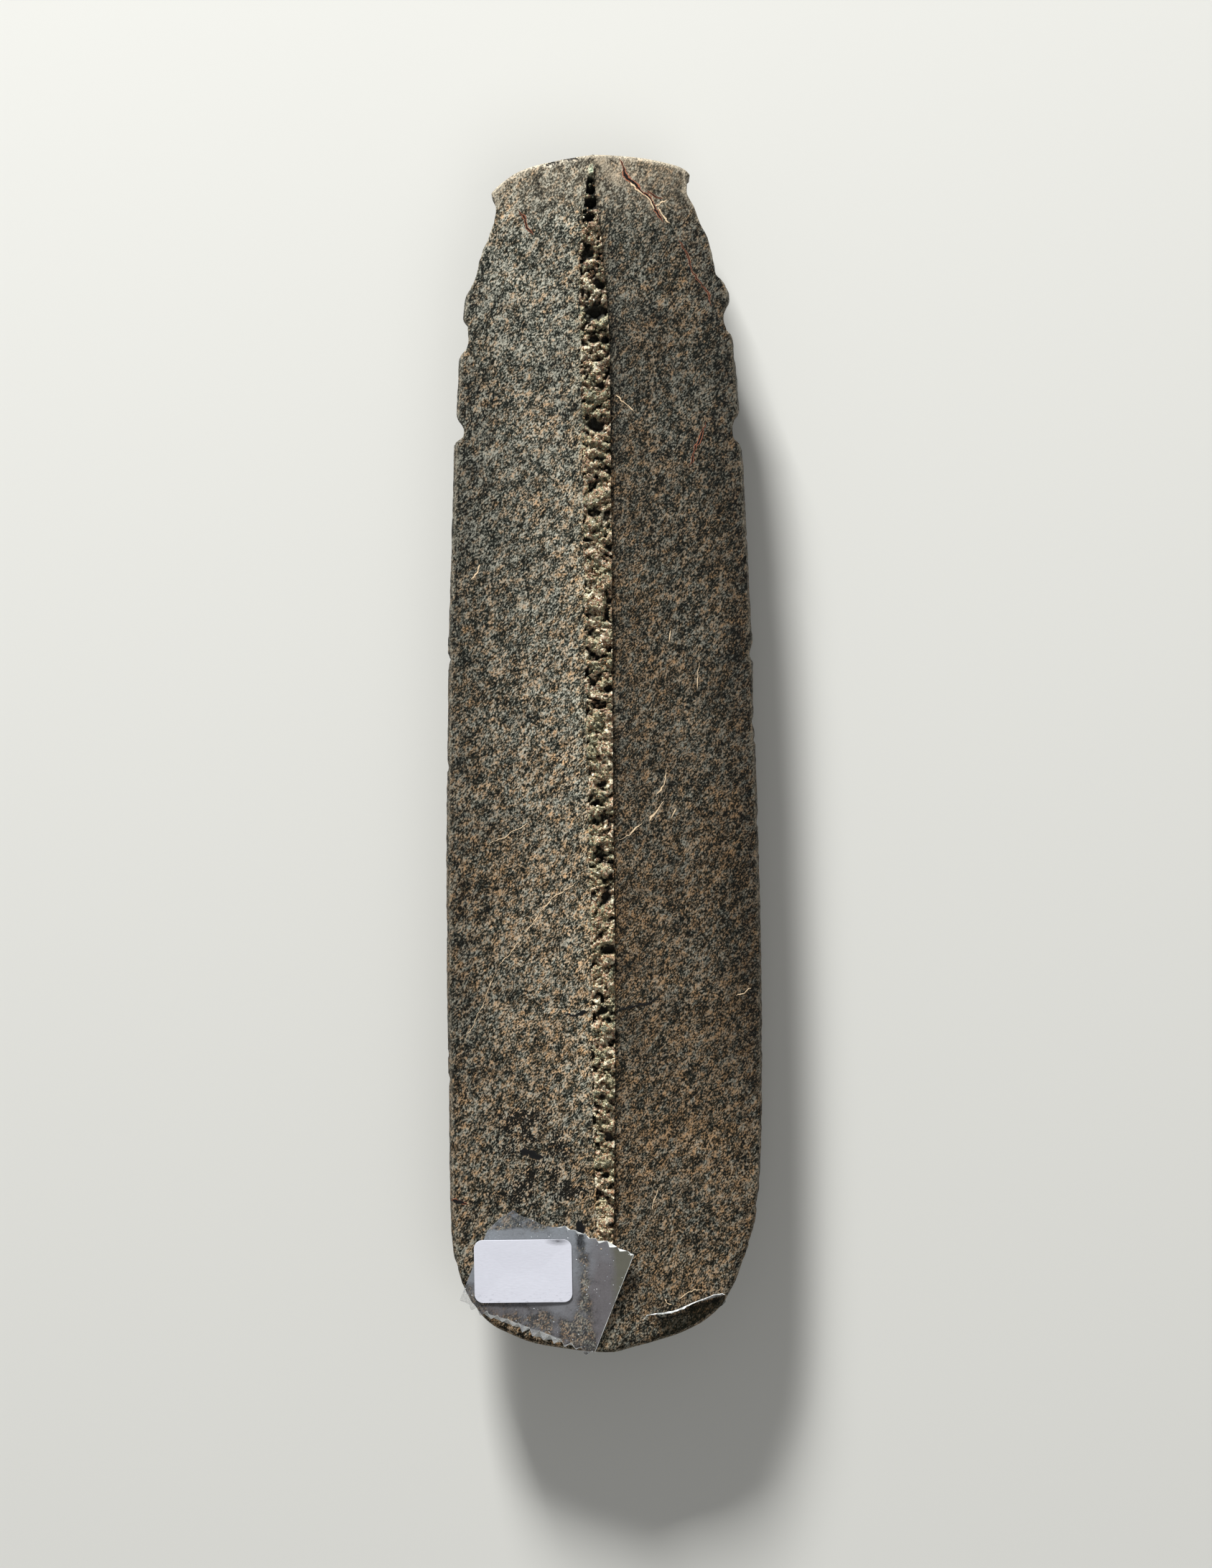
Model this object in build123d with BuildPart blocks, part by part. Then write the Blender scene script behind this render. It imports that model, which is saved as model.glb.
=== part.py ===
from build123d import *
import math
import os

# Axe-god pendant: a half celt of speckled stone that lies on its carved front, sawn back up.
# +X is the right of the back, +Y points to the crest and +Z up. The origin is under the middle
# of the outline, on the surface that the front rests on. All sizes are in millimetres.

# Driving sizes of the stone
length = 160.0
width = 42.2
thickness = 15.0
flank_drop = 4.05        # widest line of the flanks, below the top of the septum
rest_grind = 0.25        # how far the resting flat is ground into the front
rim_round = 0.9          # worn edge between the back and the rim of the blade
rim_end = 0.09           # how far up the blade that worn edge runs, as a share of the length
flank_clear = 1.48       # the outline stands this far outside the flanks that the sections shape

# Sawn back: how far each face lies below the top of the septum
root_drop = 0.55
left_rim_drop = 1.6
right_rim_drop = 2.1

# Snapped septum
septum_width = 3.8
septum_pitch = 1.6       # from one row of fracture facets to the next
lump_spacing = 2.7       # from one lump of the fracture to the next
septum_columns = 4
septum_relief = 0.42     # height of the larger lumps above and below their mean
trench_depth = 1.9       # floor of the torn strip, below the top of the septum
septum_bury = 0.5        # root of the fracture inside the stone

# String-sawn grooves that cross the front and notch both edges
groove_radius = 1.5
groove_depth = 0.9
fine_groove_radius = 0.9
fine_groove_depth = 0.45

# Low relief of the front
eye_ring_radius = 2.3
eye_ring_width = 0.7
eye_spread = 5.8
eye_depth = 0.5
beak_width = 5.6
beak_rise = 1.2
wing_slant = 24.0        # degrees
wing_start = 20.0        # degrees round the section, below the widest line of the flank

# Hole for the hanging cord, drilled from edge to edge through the neck
cord_hole_radius = 1.5
mouth_radius = 2.6
mouth_depth = 3.4
hole_drop = 6.8          # below the top of the septum

# Clear film tape, paper label and the scrap of the same film
tape_width = 19.0
tape_length = 14.4
tape_turn = -22.4        # degrees
tooth_pitch = 1.5
tooth_height = 0.45
film_thickness = 0.08
film_gap = 0.03
label_length = 13.1
label_width = 8.4
label_corner = 1.15
label_thickness = 0.12
scrap_length = 11.4
scrap_width = 5.6

half_width = width / 2
clear_share = 1 + flank_clear / half_width
flank_line = thickness - flank_drop
belly_depth = flank_line + rest_grind
blank_top = 1.07 * thickness
lump_turn = 2 * math.pi / lump_spacing

# Cross sections, from the blade's edge to the crest. The outline trims them at both ends.
# columns: place along the length, left and right half widths, depth of the belly
section_rows = [
    (0.000, 0.976, 0.900, 0.12),
    (0.060, 0.976, 0.910, 0.47),
    (0.150, 1.000, 0.972, 0.80),
    (0.300, 1.000, 1.000, 0.98),
    (0.440, 0.993, 0.993, 1.00),
    (0.581, 0.964, 0.964, 1.00),
    (0.680, 0.941, 0.941, 0.99),
    (0.771, 0.908, 0.905, 0.95),
    (0.860, 0.858, 0.866, 0.87),
    (0.910, 0.800, 0.812, 0.80),
    (0.955, 0.730, 0.720, 0.71),
    (1.000, 0.690, 0.680, 0.60),
]

# Shoulders and crest of the outline: shares of the half width and of the length
right_shoulder = [
    (0.841, 0.881),
    (0.827, 0.889),
    (0.763, 0.900),
    (0.727, 0.914),
    (0.668, 0.941),
    (0.590, 0.966),
    (0.585, 0.979),
    (0.607, 0.982),
    (0.560, 0.988),
]
left_shoulder = [
    (-0.628, 0.962),
    (-0.640, 0.943),
    (-0.697, 0.928),
    (-0.728, 0.914),
    (-0.756, 0.900),
    (-0.817, 0.886),
    (-0.836, 0.871),
]

# Sawn grooves that run round the front, from the crest to the waist.
# columns: place along the length, left and right reach, radius, depth, turn about +Z
groove_rows = [
    (0.963, 0.628, 0.600, fine_groove_radius, fine_groove_depth, 0),
    (0.860, 0.846, 0.858, groove_radius, groove_depth, 4),
    (0.771, 0.908, 0.905, groove_radius, groove_depth, 0),
    (0.581, 0.964, 0.964, fine_groove_radius, fine_groove_depth, 0),
]
cord_groove = groove_rows[2]

# Beak on the front.
# columns: place along the length, share of the beak's width, share of its rise
beak_rows = [
    (0.800, 0.16, 0.20),
    (0.835, 0.66, 0.60),
    (0.885, 1.00, 1.00),
    (0.925, 0.62, 0.45),
]

# Places of the eyes and of the two folded wing lines, as shares of the length
eye_place = 0.912
wing_places = (0.694, 0.641)

# Middle of the tape, of the label that it carries and of the film scrap.
# shares of the half width and of the length
tape_place = (-0.398, 0.056)
label_place = (tape_place[0] - 0.138, tape_place[1] + 0.013)
scrap_place = (0.493, 0.028)

# Corners of the tape before its ends are cut, in shares of its width and length
tape_corners = [
    (-0.500, -0.395),
    (0.495, -0.385),
    (0.495, 0.565),
    (-0.080, 0.540),
    (-0.508, 0.288),
]

# Torn outline of the film scrap, in shares of its length and width
scrap_points = [
    (-0.46, 0.04),
    (-0.14, 0.08),
    (-0.04, 0.17),
    (0.12, 0.34),
    (0.32, 0.50),
    (0.45, 0.50),
    (0.46, 0.36),
    (0.33, 0.08),
    (0.12, -0.15),
    (-0.16, -0.37),
    (-0.42, -0.48),
    (-0.50, -0.26),
]

# Septum in plan.
# columns: place along the length, left and right edges as shares of the septum's width
septum_rows = [
    (0.038, -0.19, -0.01),
    (0.092, -0.31, 0.20),
    (0.140, -0.39, 0.26),
    (0.194, -0.46, 0.31),
    (0.290, -0.46, 0.37),
    (0.446, -0.48, 0.39),
    (0.590, -0.53, 0.43),
    (0.745, -0.52, 0.46),
    (0.829, -0.57, 0.48),
    (0.877, -0.56, 0.41),
    (0.922, -0.53, 0.25),
    (0.955, -0.41, 0.09),
    (0.991, -0.19, -0.04),
]


def along_y(share):
    """Y of a place given as a share of the length from the blade's edge."""
    return (share - 0.5) * length


def plan_point(across, share):
    """Point of the outline: a share of the half width, and of the length."""
    return (across * half_width, along_y(share))


def back_height(across):
    """Height of the sawn back at a distance from the centre line."""
    rim_drop = left_rim_drop if across < 0 else right_rim_drop
    return thickness - root_drop - (rim_drop - root_drop) * abs(across) / half_width


def interpolate(rows, share, column):
    """Straight-line value of one column of a table at a place along the length."""
    for before, after in zip(rows, rows[1:]):
        if share <= after[0]:
            part = (share - before[0]) / (after[0] - before[0])
            return before[column] + part * (after[column] - before[column])
    return rows[-1][column]


def front_frame(across, share):
    """Plane that touches the convex front at a point, with its normal out of the stone."""
    side = 1 if across < 0 else 2
    reach = interpolate(section_rows, share, side) * half_width
    deep = interpolate(section_rows, share, 3) * belly_depth
    level = math.sqrt(1 - (across / reach) ** 2)
    origin = (across, along_y(share), flank_line - deep * level)
    return Plane(origin, x_dir=(0, 1, 0), z_dir=(across / reach**2, 0, -level / deep))


def back_frame(place, clear):
    """Plane on a sawn face at a place, raised clear of it, with its x along +X."""
    across, y = plan_point(*place)
    slope = back_height(across + 1) - back_height(across)
    return Plane(
        (across, y, back_height(across) + clear), x_dir=(1, 0, slope), z_dir=(-slope, 0, 1)
    )


def saw_teeth(start, end):
    """Points of a cutter's saw-toothed edge between two points, the end point left out."""
    run = Vector(*end) - Vector(*start)
    count = max(2, round(run.length / tooth_pitch))
    outward = run.normalized().rotate(Axis.Z, -90) * tooth_height
    points = []
    for tooth in range(count):
        points.append(Vector(*start) + run * (tooth / count))
        points.append(Vector(*start) + run * ((tooth + 0.55) / count) + outward)
    return points


def section_plane(y):
    """Plane across the pendant at y, whose own x and y are the model's X and Z."""
    return Plane.XZ.offset(-y)


def fracture_height(y, across):
    """Height of the septum's torn top: lumps and pits from waves that never line up."""
    along, sideways = lump_turn * y, lump_turn * across
    lumps = math.sin(along + 1.2 * math.sin(0.26 * along))
    cross_lumps = math.sin(0.63 * along + 0.82 * sideways + 2.1)
    chips = math.sin(1.67 * sideways - 0.36 * along)
    rise = septum_relief * (lumps + 0.8 * cross_lumps + 0.6 * chips)
    return thickness - 2.4 * septum_relief + rise


def make_septum():
    """Closed facetted body of the fracture, from the floor of the strip to its torn top."""
    first, last = septum_rows[0][0], septum_rows[-1][0]
    count = round((last - first) * length / septum_pitch)
    floor = thickness - trench_depth - septum_bury
    tops = []
    for row in range(count + 1):
        share = first + (last - first) * row / count
        y = along_y(share)
        left = interpolate(septum_rows, share, 1) * septum_width
        right = interpolate(septum_rows, share, 2) * septum_width
        points = []
        for column in range(septum_columns + 1):
            across = left + (right - left) * column / septum_columns
            points.append(Vector(across, y, fracture_height(y, across)))
        tops.append(points)

    def foot(point):
        return Vector(point.X, point.Y, floor)

    def facet(*corners):
        return Face(Wire.make_polygon(corners))

    faces = []
    for lower, upper in zip(tops, tops[1:]):
        for column in range(septum_columns):
            a, b = lower[column], lower[column + 1]
            c, d = upper[column + 1], upper[column]
            faces.append(facet(a, b, c))
            faces.append(facet(a, c, d))
        faces.append(facet(lower[0], upper[0], foot(upper[0]), foot(lower[0])))
        faces.append(facet(lower[-1], foot(lower[-1]), foot(upper[-1]), upper[-1]))
    for points in (tops[0], tops[-1]):
        faces.append(facet(foot(points[0]), *points, foot(points[-1])))
    left_feet = [foot(points[0]) for points in tops]
    right_feet = [foot(points[-1]) for points in reversed(tops)]
    faces.append(facet(*left_feet, *right_feet))
    return Solid(Shell(faces))


# Outline in plan. The flanks stand clear of it, because the sections above give their shape.
with BuildPart() as outline_blank:
    with BuildSketch():
        with BuildLine():
            blade_left = Spline(
                plan_point(-clear_share, 0.155),
                plan_point(-0.995, 0.104),
                plan_point(-0.896, 0.049),
                plan_point(-0.692, 0.019),
                plan_point(-0.355, 0.004),
                plan_point(0, 0),
            )
            blade_right = Spline(
                blade_left @ 1,
                plan_point(0.332, 0.010),
                plan_point(0.597, 0.023),
                plan_point(0.777, 0.050),
                plan_point(0.919, 0.094),
                plan_point(clear_share, 0.190),
                tangents=[blade_left % 1, (0.25, 1)],
            )
            shoulder = Polyline(
                blade_right @ 1,
                plan_point(clear_share, 0.869),
                *[plan_point(*point) for point in right_shoulder],
            )
            crest_right = ThreePointArc(
                shoulder @ 1, plan_point(0.322, 0.996), plan_point(0.051, 1.000)
            )
            crest_left = ThreePointArc(
                crest_right @ 1, plan_point(-0.308, 0.994), plan_point(-0.652, 0.969)
            )
            Polyline(
                crest_left @ 1,
                *[plan_point(*point) for point in left_shoulder],
                plan_point(-clear_share, 0.859),
                blade_left @ 0,
            )
        make_face()
    extrude(amount=blank_top + rest_grind)
    outline_blank.part.position = (0, 0, -rest_grind)

septum_body = make_septum()

with BuildPart() as pendant_stone:
    for share, left, right, depth in section_rows:
        with BuildSketch(section_plane(along_y(share))):
            with BuildLine():
                rise = math.degrees(math.asin((blank_top - flank_line) / belly_depth))
                seam = (0, flank_line)
                left_width, right_width = left * half_width, right * half_width
                deep = depth * belly_depth
                EllipticalCenterArc(seam, left_width, deep, 180, arc_size=90)
                EllipticalCenterArc(seam, right_width, deep, 270, arc_size=90)
                right_top = EllipticalCenterArc(seam, right_width, belly_depth, 0, arc_size=rise)
                left_top = EllipticalCenterArc(
                    seam, left_width, belly_depth, 180 - rise, arc_size=rise
                )
                Line(right_top @ 1, left_top @ 0)
            make_face()
    loft()
    add(outline_blank.part, mode=Mode.INTERSECT)
    split(bisect_by=Plane.XY, keep=Keep.TOP)

    # Two sawn faces that rise to the septum
    with BuildSketch(section_plane(0)):
        with BuildLine():
            Polyline(
                (-width, back_height(-width)),
                (0, back_height(0)),
                (width, back_height(width)),
                (width, 2 * blank_top),
                (-width, 2 * blank_top),
                close=True,
            )
        make_face()
    extrude(amount=length, both=True, mode=Mode.SUBTRACT)

    # Worn edge between the faces and the rim of the blade
    worn = [
        edge
        for face in pendant_stone.faces().filter_by(lambda f: f.normal_at().Z > 0.9)
        for edge in face.edges()
        if edge.center().Y < along_y(rim_end)
    ]
    fillet(worn, rim_round)

    # Grooves sawn across the front and up both flanks
    for share, left, right, radius, deep, turn in groove_rows:
        clear = radius - deep
        left_reach, right_reach = left * half_width + clear, right * half_width + clear
        belly = interpolate(section_rows, share, 3) * belly_depth + clear
        across = section_plane(along_y(share)).rotated((0, 0, turn))
        with BuildLine(across) as groove_path:
            down = Line((-left_reach, blank_top), (-left_reach, flank_line))
            EllipticalCenterArc((0, flank_line), left_reach, belly, 180, arc_size=90)
            EllipticalCenterArc((0, flank_line), right_reach, belly, 270, arc_size=90)
            Line((right_reach, flank_line), (right_reach, blank_top))
        with BuildSketch(Plane(down @ 0, z_dir=down % 0)):
            Circle(radius)
        sweep(path=groove_path.line, mode=Mode.SUBTRACT)

    # Folded wings: two slanted lines on each side, from under the flank to the middle
    for place in wing_places:
        for side, level in ((-1, 180), (1, 0)):
            tip = place + math.tan(math.radians(wing_slant)) * half_width / length
            reach = interpolate(section_rows, tip, 1) * half_width
            reach = reach / math.cos(math.radians(wing_slant))
            clear = fine_groove_radius - fine_groove_depth
            deep = interpolate(section_rows, place, 3) * belly_depth + clear
            across = section_plane(along_y(place)).rotated((0, 0, side * wing_slant))
            with BuildLine(across) as wing_path:
                arc = EllipticalCenterArc(
                    (0, flank_line),
                    reach + clear,
                    deep,
                    level - side * wing_start,
                    arc_size=side * (wing_start - 90),
                )
            with BuildSketch(Plane(arc @ 0, z_dir=arc % 0)):
                Circle(fine_groove_radius)
            sweep(path=wing_path.line, mode=Mode.SUBTRACT)

    # Hollow-drilled ring round each eye
    for side in (-1, 1):
        with BuildSketch(front_frame(side * eye_spread, eye_place).offset(-eye_depth)):
            Circle(eye_ring_radius)
            Circle(eye_ring_radius - eye_ring_width, mode=Mode.SUBTRACT)
        extrude(amount=eye_depth + eye_ring_radius, mode=Mode.SUBTRACT)

    # Raised beak between the eyes, which runs down over the neck groove
    for share, wide, rise in beak_rows:
        half = wide * beak_width / 2
        root = front_frame(half, share).origin.Z
        tip = front_frame(0, share).origin.Z - rise * beak_rise
        with BuildSketch(section_plane(along_y(share))):
            with BuildLine():
                arch = ThreePointArc((-half, root), (0, tip), (half, root))
                Polyline(arch @ 1, (half, flank_line), (-half, flank_line), arch @ 0)
            make_face()
    loft()

    # Cord hole: a straight core with flared mouths in the neck groove
    share, left = cord_groove[:2]
    hole_height = thickness - hole_drop
    belly = interpolate(section_rows, share, 3) * belly_depth
    drop = (flank_line - hole_height) / belly
    mouth = left * half_width * math.sqrt(1 - drop**2) - groove_depth
    flare = (mouth_radius - cord_hole_radius) / mouth_depth
    middle = (0, along_y(share), hole_height)
    with Locations(Plane(middle, z_dir=(1, 0, 0))):
        Cylinder(cord_hole_radius, width, mode=Mode.SUBTRACT)
    for side in (-1, 1):
        inner = Plane(middle, z_dir=(side, 0, 0)).offset(mouth - mouth_depth)
        with Locations(inner):
            Cone(
                cord_hole_radius,
                cord_hole_radius + 2 * mouth_depth * flare,
                2 * mouth_depth,
                align=(Align.CENTER, Align.CENTER, Align.MIN),
                mode=Mode.SUBTRACT,
            )

    # Rough septum, torn out of the strip between the two faces
    with BuildSketch(Plane.XY.offset(thickness - trench_depth)):
        with BuildLine():
            strip = [(row[1] * septum_width, along_y(row[0])) for row in septum_rows]
            strip += [(row[2] * septum_width, along_y(row[0])) for row in reversed(septum_rows)]
            Polyline(*strip, close=True)
        make_face()
    extrude(amount=trench_depth, mode=Mode.SUBTRACT)
    add(septum_body)

pendant_stone.part.label = "pendant_stone"

# Tape: it follows the left face, climbs the septum and stands clear of the right face
with BuildPart() as tape_strip:
    climb = -0.5 * septum_width
    over = thickness + film_gap
    low_points = [
        (-half_width - tape_length / 4, back_height(-half_width - tape_length / 4) + film_gap),
        (climb - 0.4 * septum_width, back_height(climb - 0.4 * septum_width) + film_gap),
        (climb + 0.2 * septum_width, over),
        (half_width / 3, over),
    ]
    high_points = [(x, z + film_thickness) for x, z in reversed(low_points)]
    with BuildSketch(section_plane(along_y(tape_place[1]))):
        with BuildLine():
            Polyline(*low_points, *high_points, close=True)
        make_face()
    extrude(amount=tape_width, both=True)
    with BuildSketch(Plane(plan_point(*tape_place)).rotated((0, 0, tape_turn))):
        with BuildLine():
            corners = [(x * tape_width, y * tape_length) for x, y in tape_corners]
            cut_foot = saw_teeth(corners[0], corners[1])
            cut_head = saw_teeth(corners[2], corners[3])
            Polyline(*cut_foot, corners[1], *cut_head, corners[3], corners[4], close=True)
        make_face()
    extrude(amount=2 * thickness, mode=Mode.INTERSECT)

tape_strip.part.label = "tape_strip"

with BuildPart() as paper_label:
    with BuildSketch(back_frame(label_place, 2 * film_gap + film_thickness)):
        RectangleRounded(label_length, label_width, label_corner)
    extrude(amount=label_thickness)

paper_label.part.label = "paper_label"

with BuildPart() as film_scrap:
    with BuildSketch(back_frame(scrap_place, film_gap)):
        with BuildLine():
            Polyline(*[(x * scrap_length, y * scrap_width) for x, y in scrap_points], close=True)
        make_face()
    extrude(amount=film_thickness)

film_scrap.part.label = "film_scrap"

os.makedirs("parts", exist_ok=True)
export_step(pendant_stone.part, "parts/pendant_stone.step")
export_step(tape_strip.part, "parts/tape_strip.step")
export_step(paper_label.part, "parts/paper_label.step")
export_step(film_scrap.part, "parts/film_scrap.step")
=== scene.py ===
import math
from types import SimpleNamespace

import bpy
import numpy as np
from bpy.props import FloatProperty, FloatVectorProperty, PointerProperty
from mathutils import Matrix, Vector


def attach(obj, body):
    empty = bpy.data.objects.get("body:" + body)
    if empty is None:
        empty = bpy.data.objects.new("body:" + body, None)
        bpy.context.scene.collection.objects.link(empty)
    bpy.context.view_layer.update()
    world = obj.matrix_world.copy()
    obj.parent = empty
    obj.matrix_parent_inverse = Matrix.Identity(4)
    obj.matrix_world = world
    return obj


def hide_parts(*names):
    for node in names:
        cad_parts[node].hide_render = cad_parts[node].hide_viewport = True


bl_info = {
    "name": "Jade axe-god pendant",
    "version": (1, 0, 0),
    "blender": (4, 5, 0),
    "location": "3D View > Sidebar > Pendant",
    "description": "Dresses the packed pendant: sawn and snapped stone, tape, label and film",
    "category": "Object",
}

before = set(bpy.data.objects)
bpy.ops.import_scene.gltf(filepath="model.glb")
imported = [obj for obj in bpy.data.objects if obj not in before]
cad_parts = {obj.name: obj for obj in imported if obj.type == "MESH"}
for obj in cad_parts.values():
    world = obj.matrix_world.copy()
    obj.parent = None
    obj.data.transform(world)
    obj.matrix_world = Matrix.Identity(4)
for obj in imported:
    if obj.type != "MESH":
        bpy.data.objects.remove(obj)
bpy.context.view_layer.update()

MM = 0.001           # metres in a millimetre: the numbers and tables below are in millimetres
HALF_LENGTH = 80     # from the middle of the outline to the crest or the blade
ROUND_END = 12       # length of each end over which the outline turns round
SEPTUM_WIDTH = 3.9   # widest reach of the snapped septum

# Widest outline of the stone seen from the back: (Y, X) from the blade to the crest
left_outline = [
    (-80.0, 0.16), (-79.8, -3.2), (-79.4, -6.3), (-78.8, -9.7), (-77.6, -12.9), (-76.4, -15.3),
    (-74.1, -17.7), (-71.8, -19.0), (-69.5, -19.8), (-67.2, -20.5), (-64.8, -20.85), (-62.5, -21.0),
    (-49.0, -21.05), (-30.0, -21.1), (-10.0, -20.9), (4.0, -20.55), (11.4, -20.45), (11.9, -20.25),
    (13.2, -20.15), (13.9, -20.4), (18.0, -20.2), (34.0, -19.5), (41.57, -19.2), (41.86, -18.93),
    (42.6, -18.0), (43.47, -17.85), (44.2, -18.1), (45.02, -18.69), (45.9, -18.85), (47.9, -18.75),
    (50.5, -18.55), (52.97, -18.5), (53.6, -18.0), (54.4, -17.33), (55.4, -17.05), (56.5, -17.1),
    (57.6, -17.4), (58.52, -17.76), (60.0, -17.65), (61.3, -17.44), (62.1, -16.9), (64.0, -16.0),
    (66.3, -15.4), (68.5, -14.7), (70.78, -13.6), (73.1, -13.15), (73.95, -13.25), (74.6, -13.6),
    (75.06, -13.75), (75.6, -13.3), (76.6, -12.2), (77.7, -10.6), (78.4, -8.9), (79.04, -6.5), (79.6, -3.2),
    (79.9, -0.7), (80.0, 1.0),
]
right_outline = [
    (-80.0, 0.36), (-79.8, 1.6), (-79.4, 3.1), (-78.8, 5.5), (-77.6, 9.6), (-76.4, 12.2), (-75.3, 13.75),
    (-74.1, 15.05), (-71.8, 16.5), (-69.5, 17.6), (-67.2, 18.4), (-64.8, 19.2), (-62.5, 19.85),
    (-58.0, 20.45), (-49.0, 20.9), (-30.0, 21.1), (-10.0, 20.9), (3.1, 20.57), (3.6, 20.3), (4.06, 20.2),
    (4.8, 20.45), (12.02, 20.49), (12.5, 20.2), (13.08, 19.93), (13.5, 20.0), (14.23, 20.33), (14.9, 20.45),
    (18.0, 20.3), (34.0, 19.7), (40.51, 19.36), (41.2, 19.0), (42.16, 18.18), (43.3, 18.1), (44.36, 18.31),
    (45.2, 18.9), (45.98, 19.1), (47.9, 18.95), (50.4, 18.77), (55.29, 18.35), (55.9, 18.0), (56.45, 17.5),
    (57.0, 17.25), (57.8, 17.1), (58.85, 17.15), (59.6, 17.45), (60.47, 17.94), (61.4, 17.9), (62.3, 17.48),
    (63.2, 16.8), (63.95, 16.1), (66.3, 15.7), (68.5, 15.1), (70.8, 14.1), (73.1, 13.2), (74.59, 12.46),
    (75.6, 12.35), (76.65, 12.34), (76.9, 12.6), (77.13, 12.81), (77.8, 12.3), (78.25, 11.54), (78.9, 9.4),
    (79.36, 7.4), (79.8, 4.4), (79.95, 2.4), (80.0, 1.2),
]

# Cross sections: (share of the length, left and right half widths and depth as shares)
section_rows = [
    (0.000, 0.976, 0.900, 0.12), (0.060, 0.976, 0.910, 0.47), (0.150, 1.000, 0.972, 0.80),
    (0.300, 1.000, 1.000, 0.98), (0.440, 0.993, 0.993, 1.00), (0.581, 0.964, 0.964, 1.00),
    (0.680, 0.941, 0.941, 0.99), (0.771, 0.908, 0.905, 0.95), (0.860, 0.858, 0.866, 0.87),
    (0.910, 0.800, 0.812, 0.80), (0.955, 0.730, 0.720, 0.71), (1.000, 0.690, 0.680, 0.60),
]

# Edges of the septum: (Y, left X, right X)
septum_rows = [
    (-80.0, -0.5, -0.3), (-73.9, -0.72, -0.05), (-65.3, -1.19, 0.77), (-57.6, -1.48, 0.97),
    (-49.0, -1.75, 1.17), (-33.6, -1.75, 1.41), (-8.7, -1.82, 1.48), (14.3, -2.01, 1.63),
    (39.3, -1.99, 1.75), (52.7, -2.15, 1.82), (60.3, -2.11, 1.54), (67.4, -2.02, 0.96), (72.8, -1.57, 0.35),
    (75.7, -1.05, 0.10), (78.5, -0.73, -0.15), (80.0, -0.5, -0.3),
]

# Deep pits of the septum: (X, Y, radius, depth)
septum_pits = [
    (-0.6, 76.6, 0.5, 1.4), (-0.6, 75.2, 0.65, 1.7), (-0.4, 73.5, 0.9, 1.8), (-0.5, 71.6, 0.7, 1.4),
    (-0.9, 66.6, 0.8, 1.3), (0.41, 62.5, 0.85, 1.6), (-0.11, 59.0, 1.05, 1.5), (-0.4, 55.3, 0.7, 1.1),
    (0.6, 49.2, 0.7, 1.1), (-0.30, 43.9, 1.15, 1.4), (0.5, 39.4, 0.6, 0.9), (1.0, 20.3, 0.6, 0.9),
    (1.1, 8.6, 0.65, 1.2), (0.1, -3.9, 0.7, 0.9), (0.44, -19.1, 0.8, 1.2), (0.64, -26.2, 0.85, 1.3),
    (-0.2, -34.3, 0.6, 0.9), (-0.6, -45.8, 0.6, 0.8), (0.3, -51.2, 0.75, 1.1), (-0.1, -56.2, 0.6, 1.0),
    (0.5, -62.8, 0.5, 0.9),
]

# Small flakes lost from the rim: (X, Y, radius, depth)
crest_chips = [(-5.7, 79.1, 0.8, 0.5), (-3.1, 79.75, 1.0, 0.4), (10.7, -72.9, 0.35, 0.3)]

# Sawn grooves of the front: (Y on the centre line, turn in degrees, radius, depth)
groove_rows = [
    (74.08, 0.0, 0.9, 0.45), (57.6, 4.0, 1.5, 0.9), (43.36, 0.0, 1.5, 0.9), (12.96, 0.0, 0.9, 0.45),
]
wing_rows = [31.04, 22.56]                       # Y where each pair of folded wing lines meets
wing_groove = (math.radians(24.0), 0.9, 0.45)    # slant, radius, depth

# Raised beak of the front: (Y, half width, height)
beak_rows = [(48.0, 0.448, 0.24), (53.6, 1.848, 0.72), (61.6, 2.8, 1.2), (68.0, 1.736, 0.54)]
eye_middle = (5.8, 65.92)                        # X on both sides of the centre line, Y
eye_radius = 1.95                                # of the middle of each ringed groove

# Cord hole from edge to edge: (Y, Z), then the drill's (X, radius)
cord_hole = (43.36, 8.2)
drill_profile = [(-24.0, 5.0), (-17.6, 2.6), (-14.2, 1.5), (14.2, 1.5), (17.6, 2.6), (24.0, 5.0)]

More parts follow.
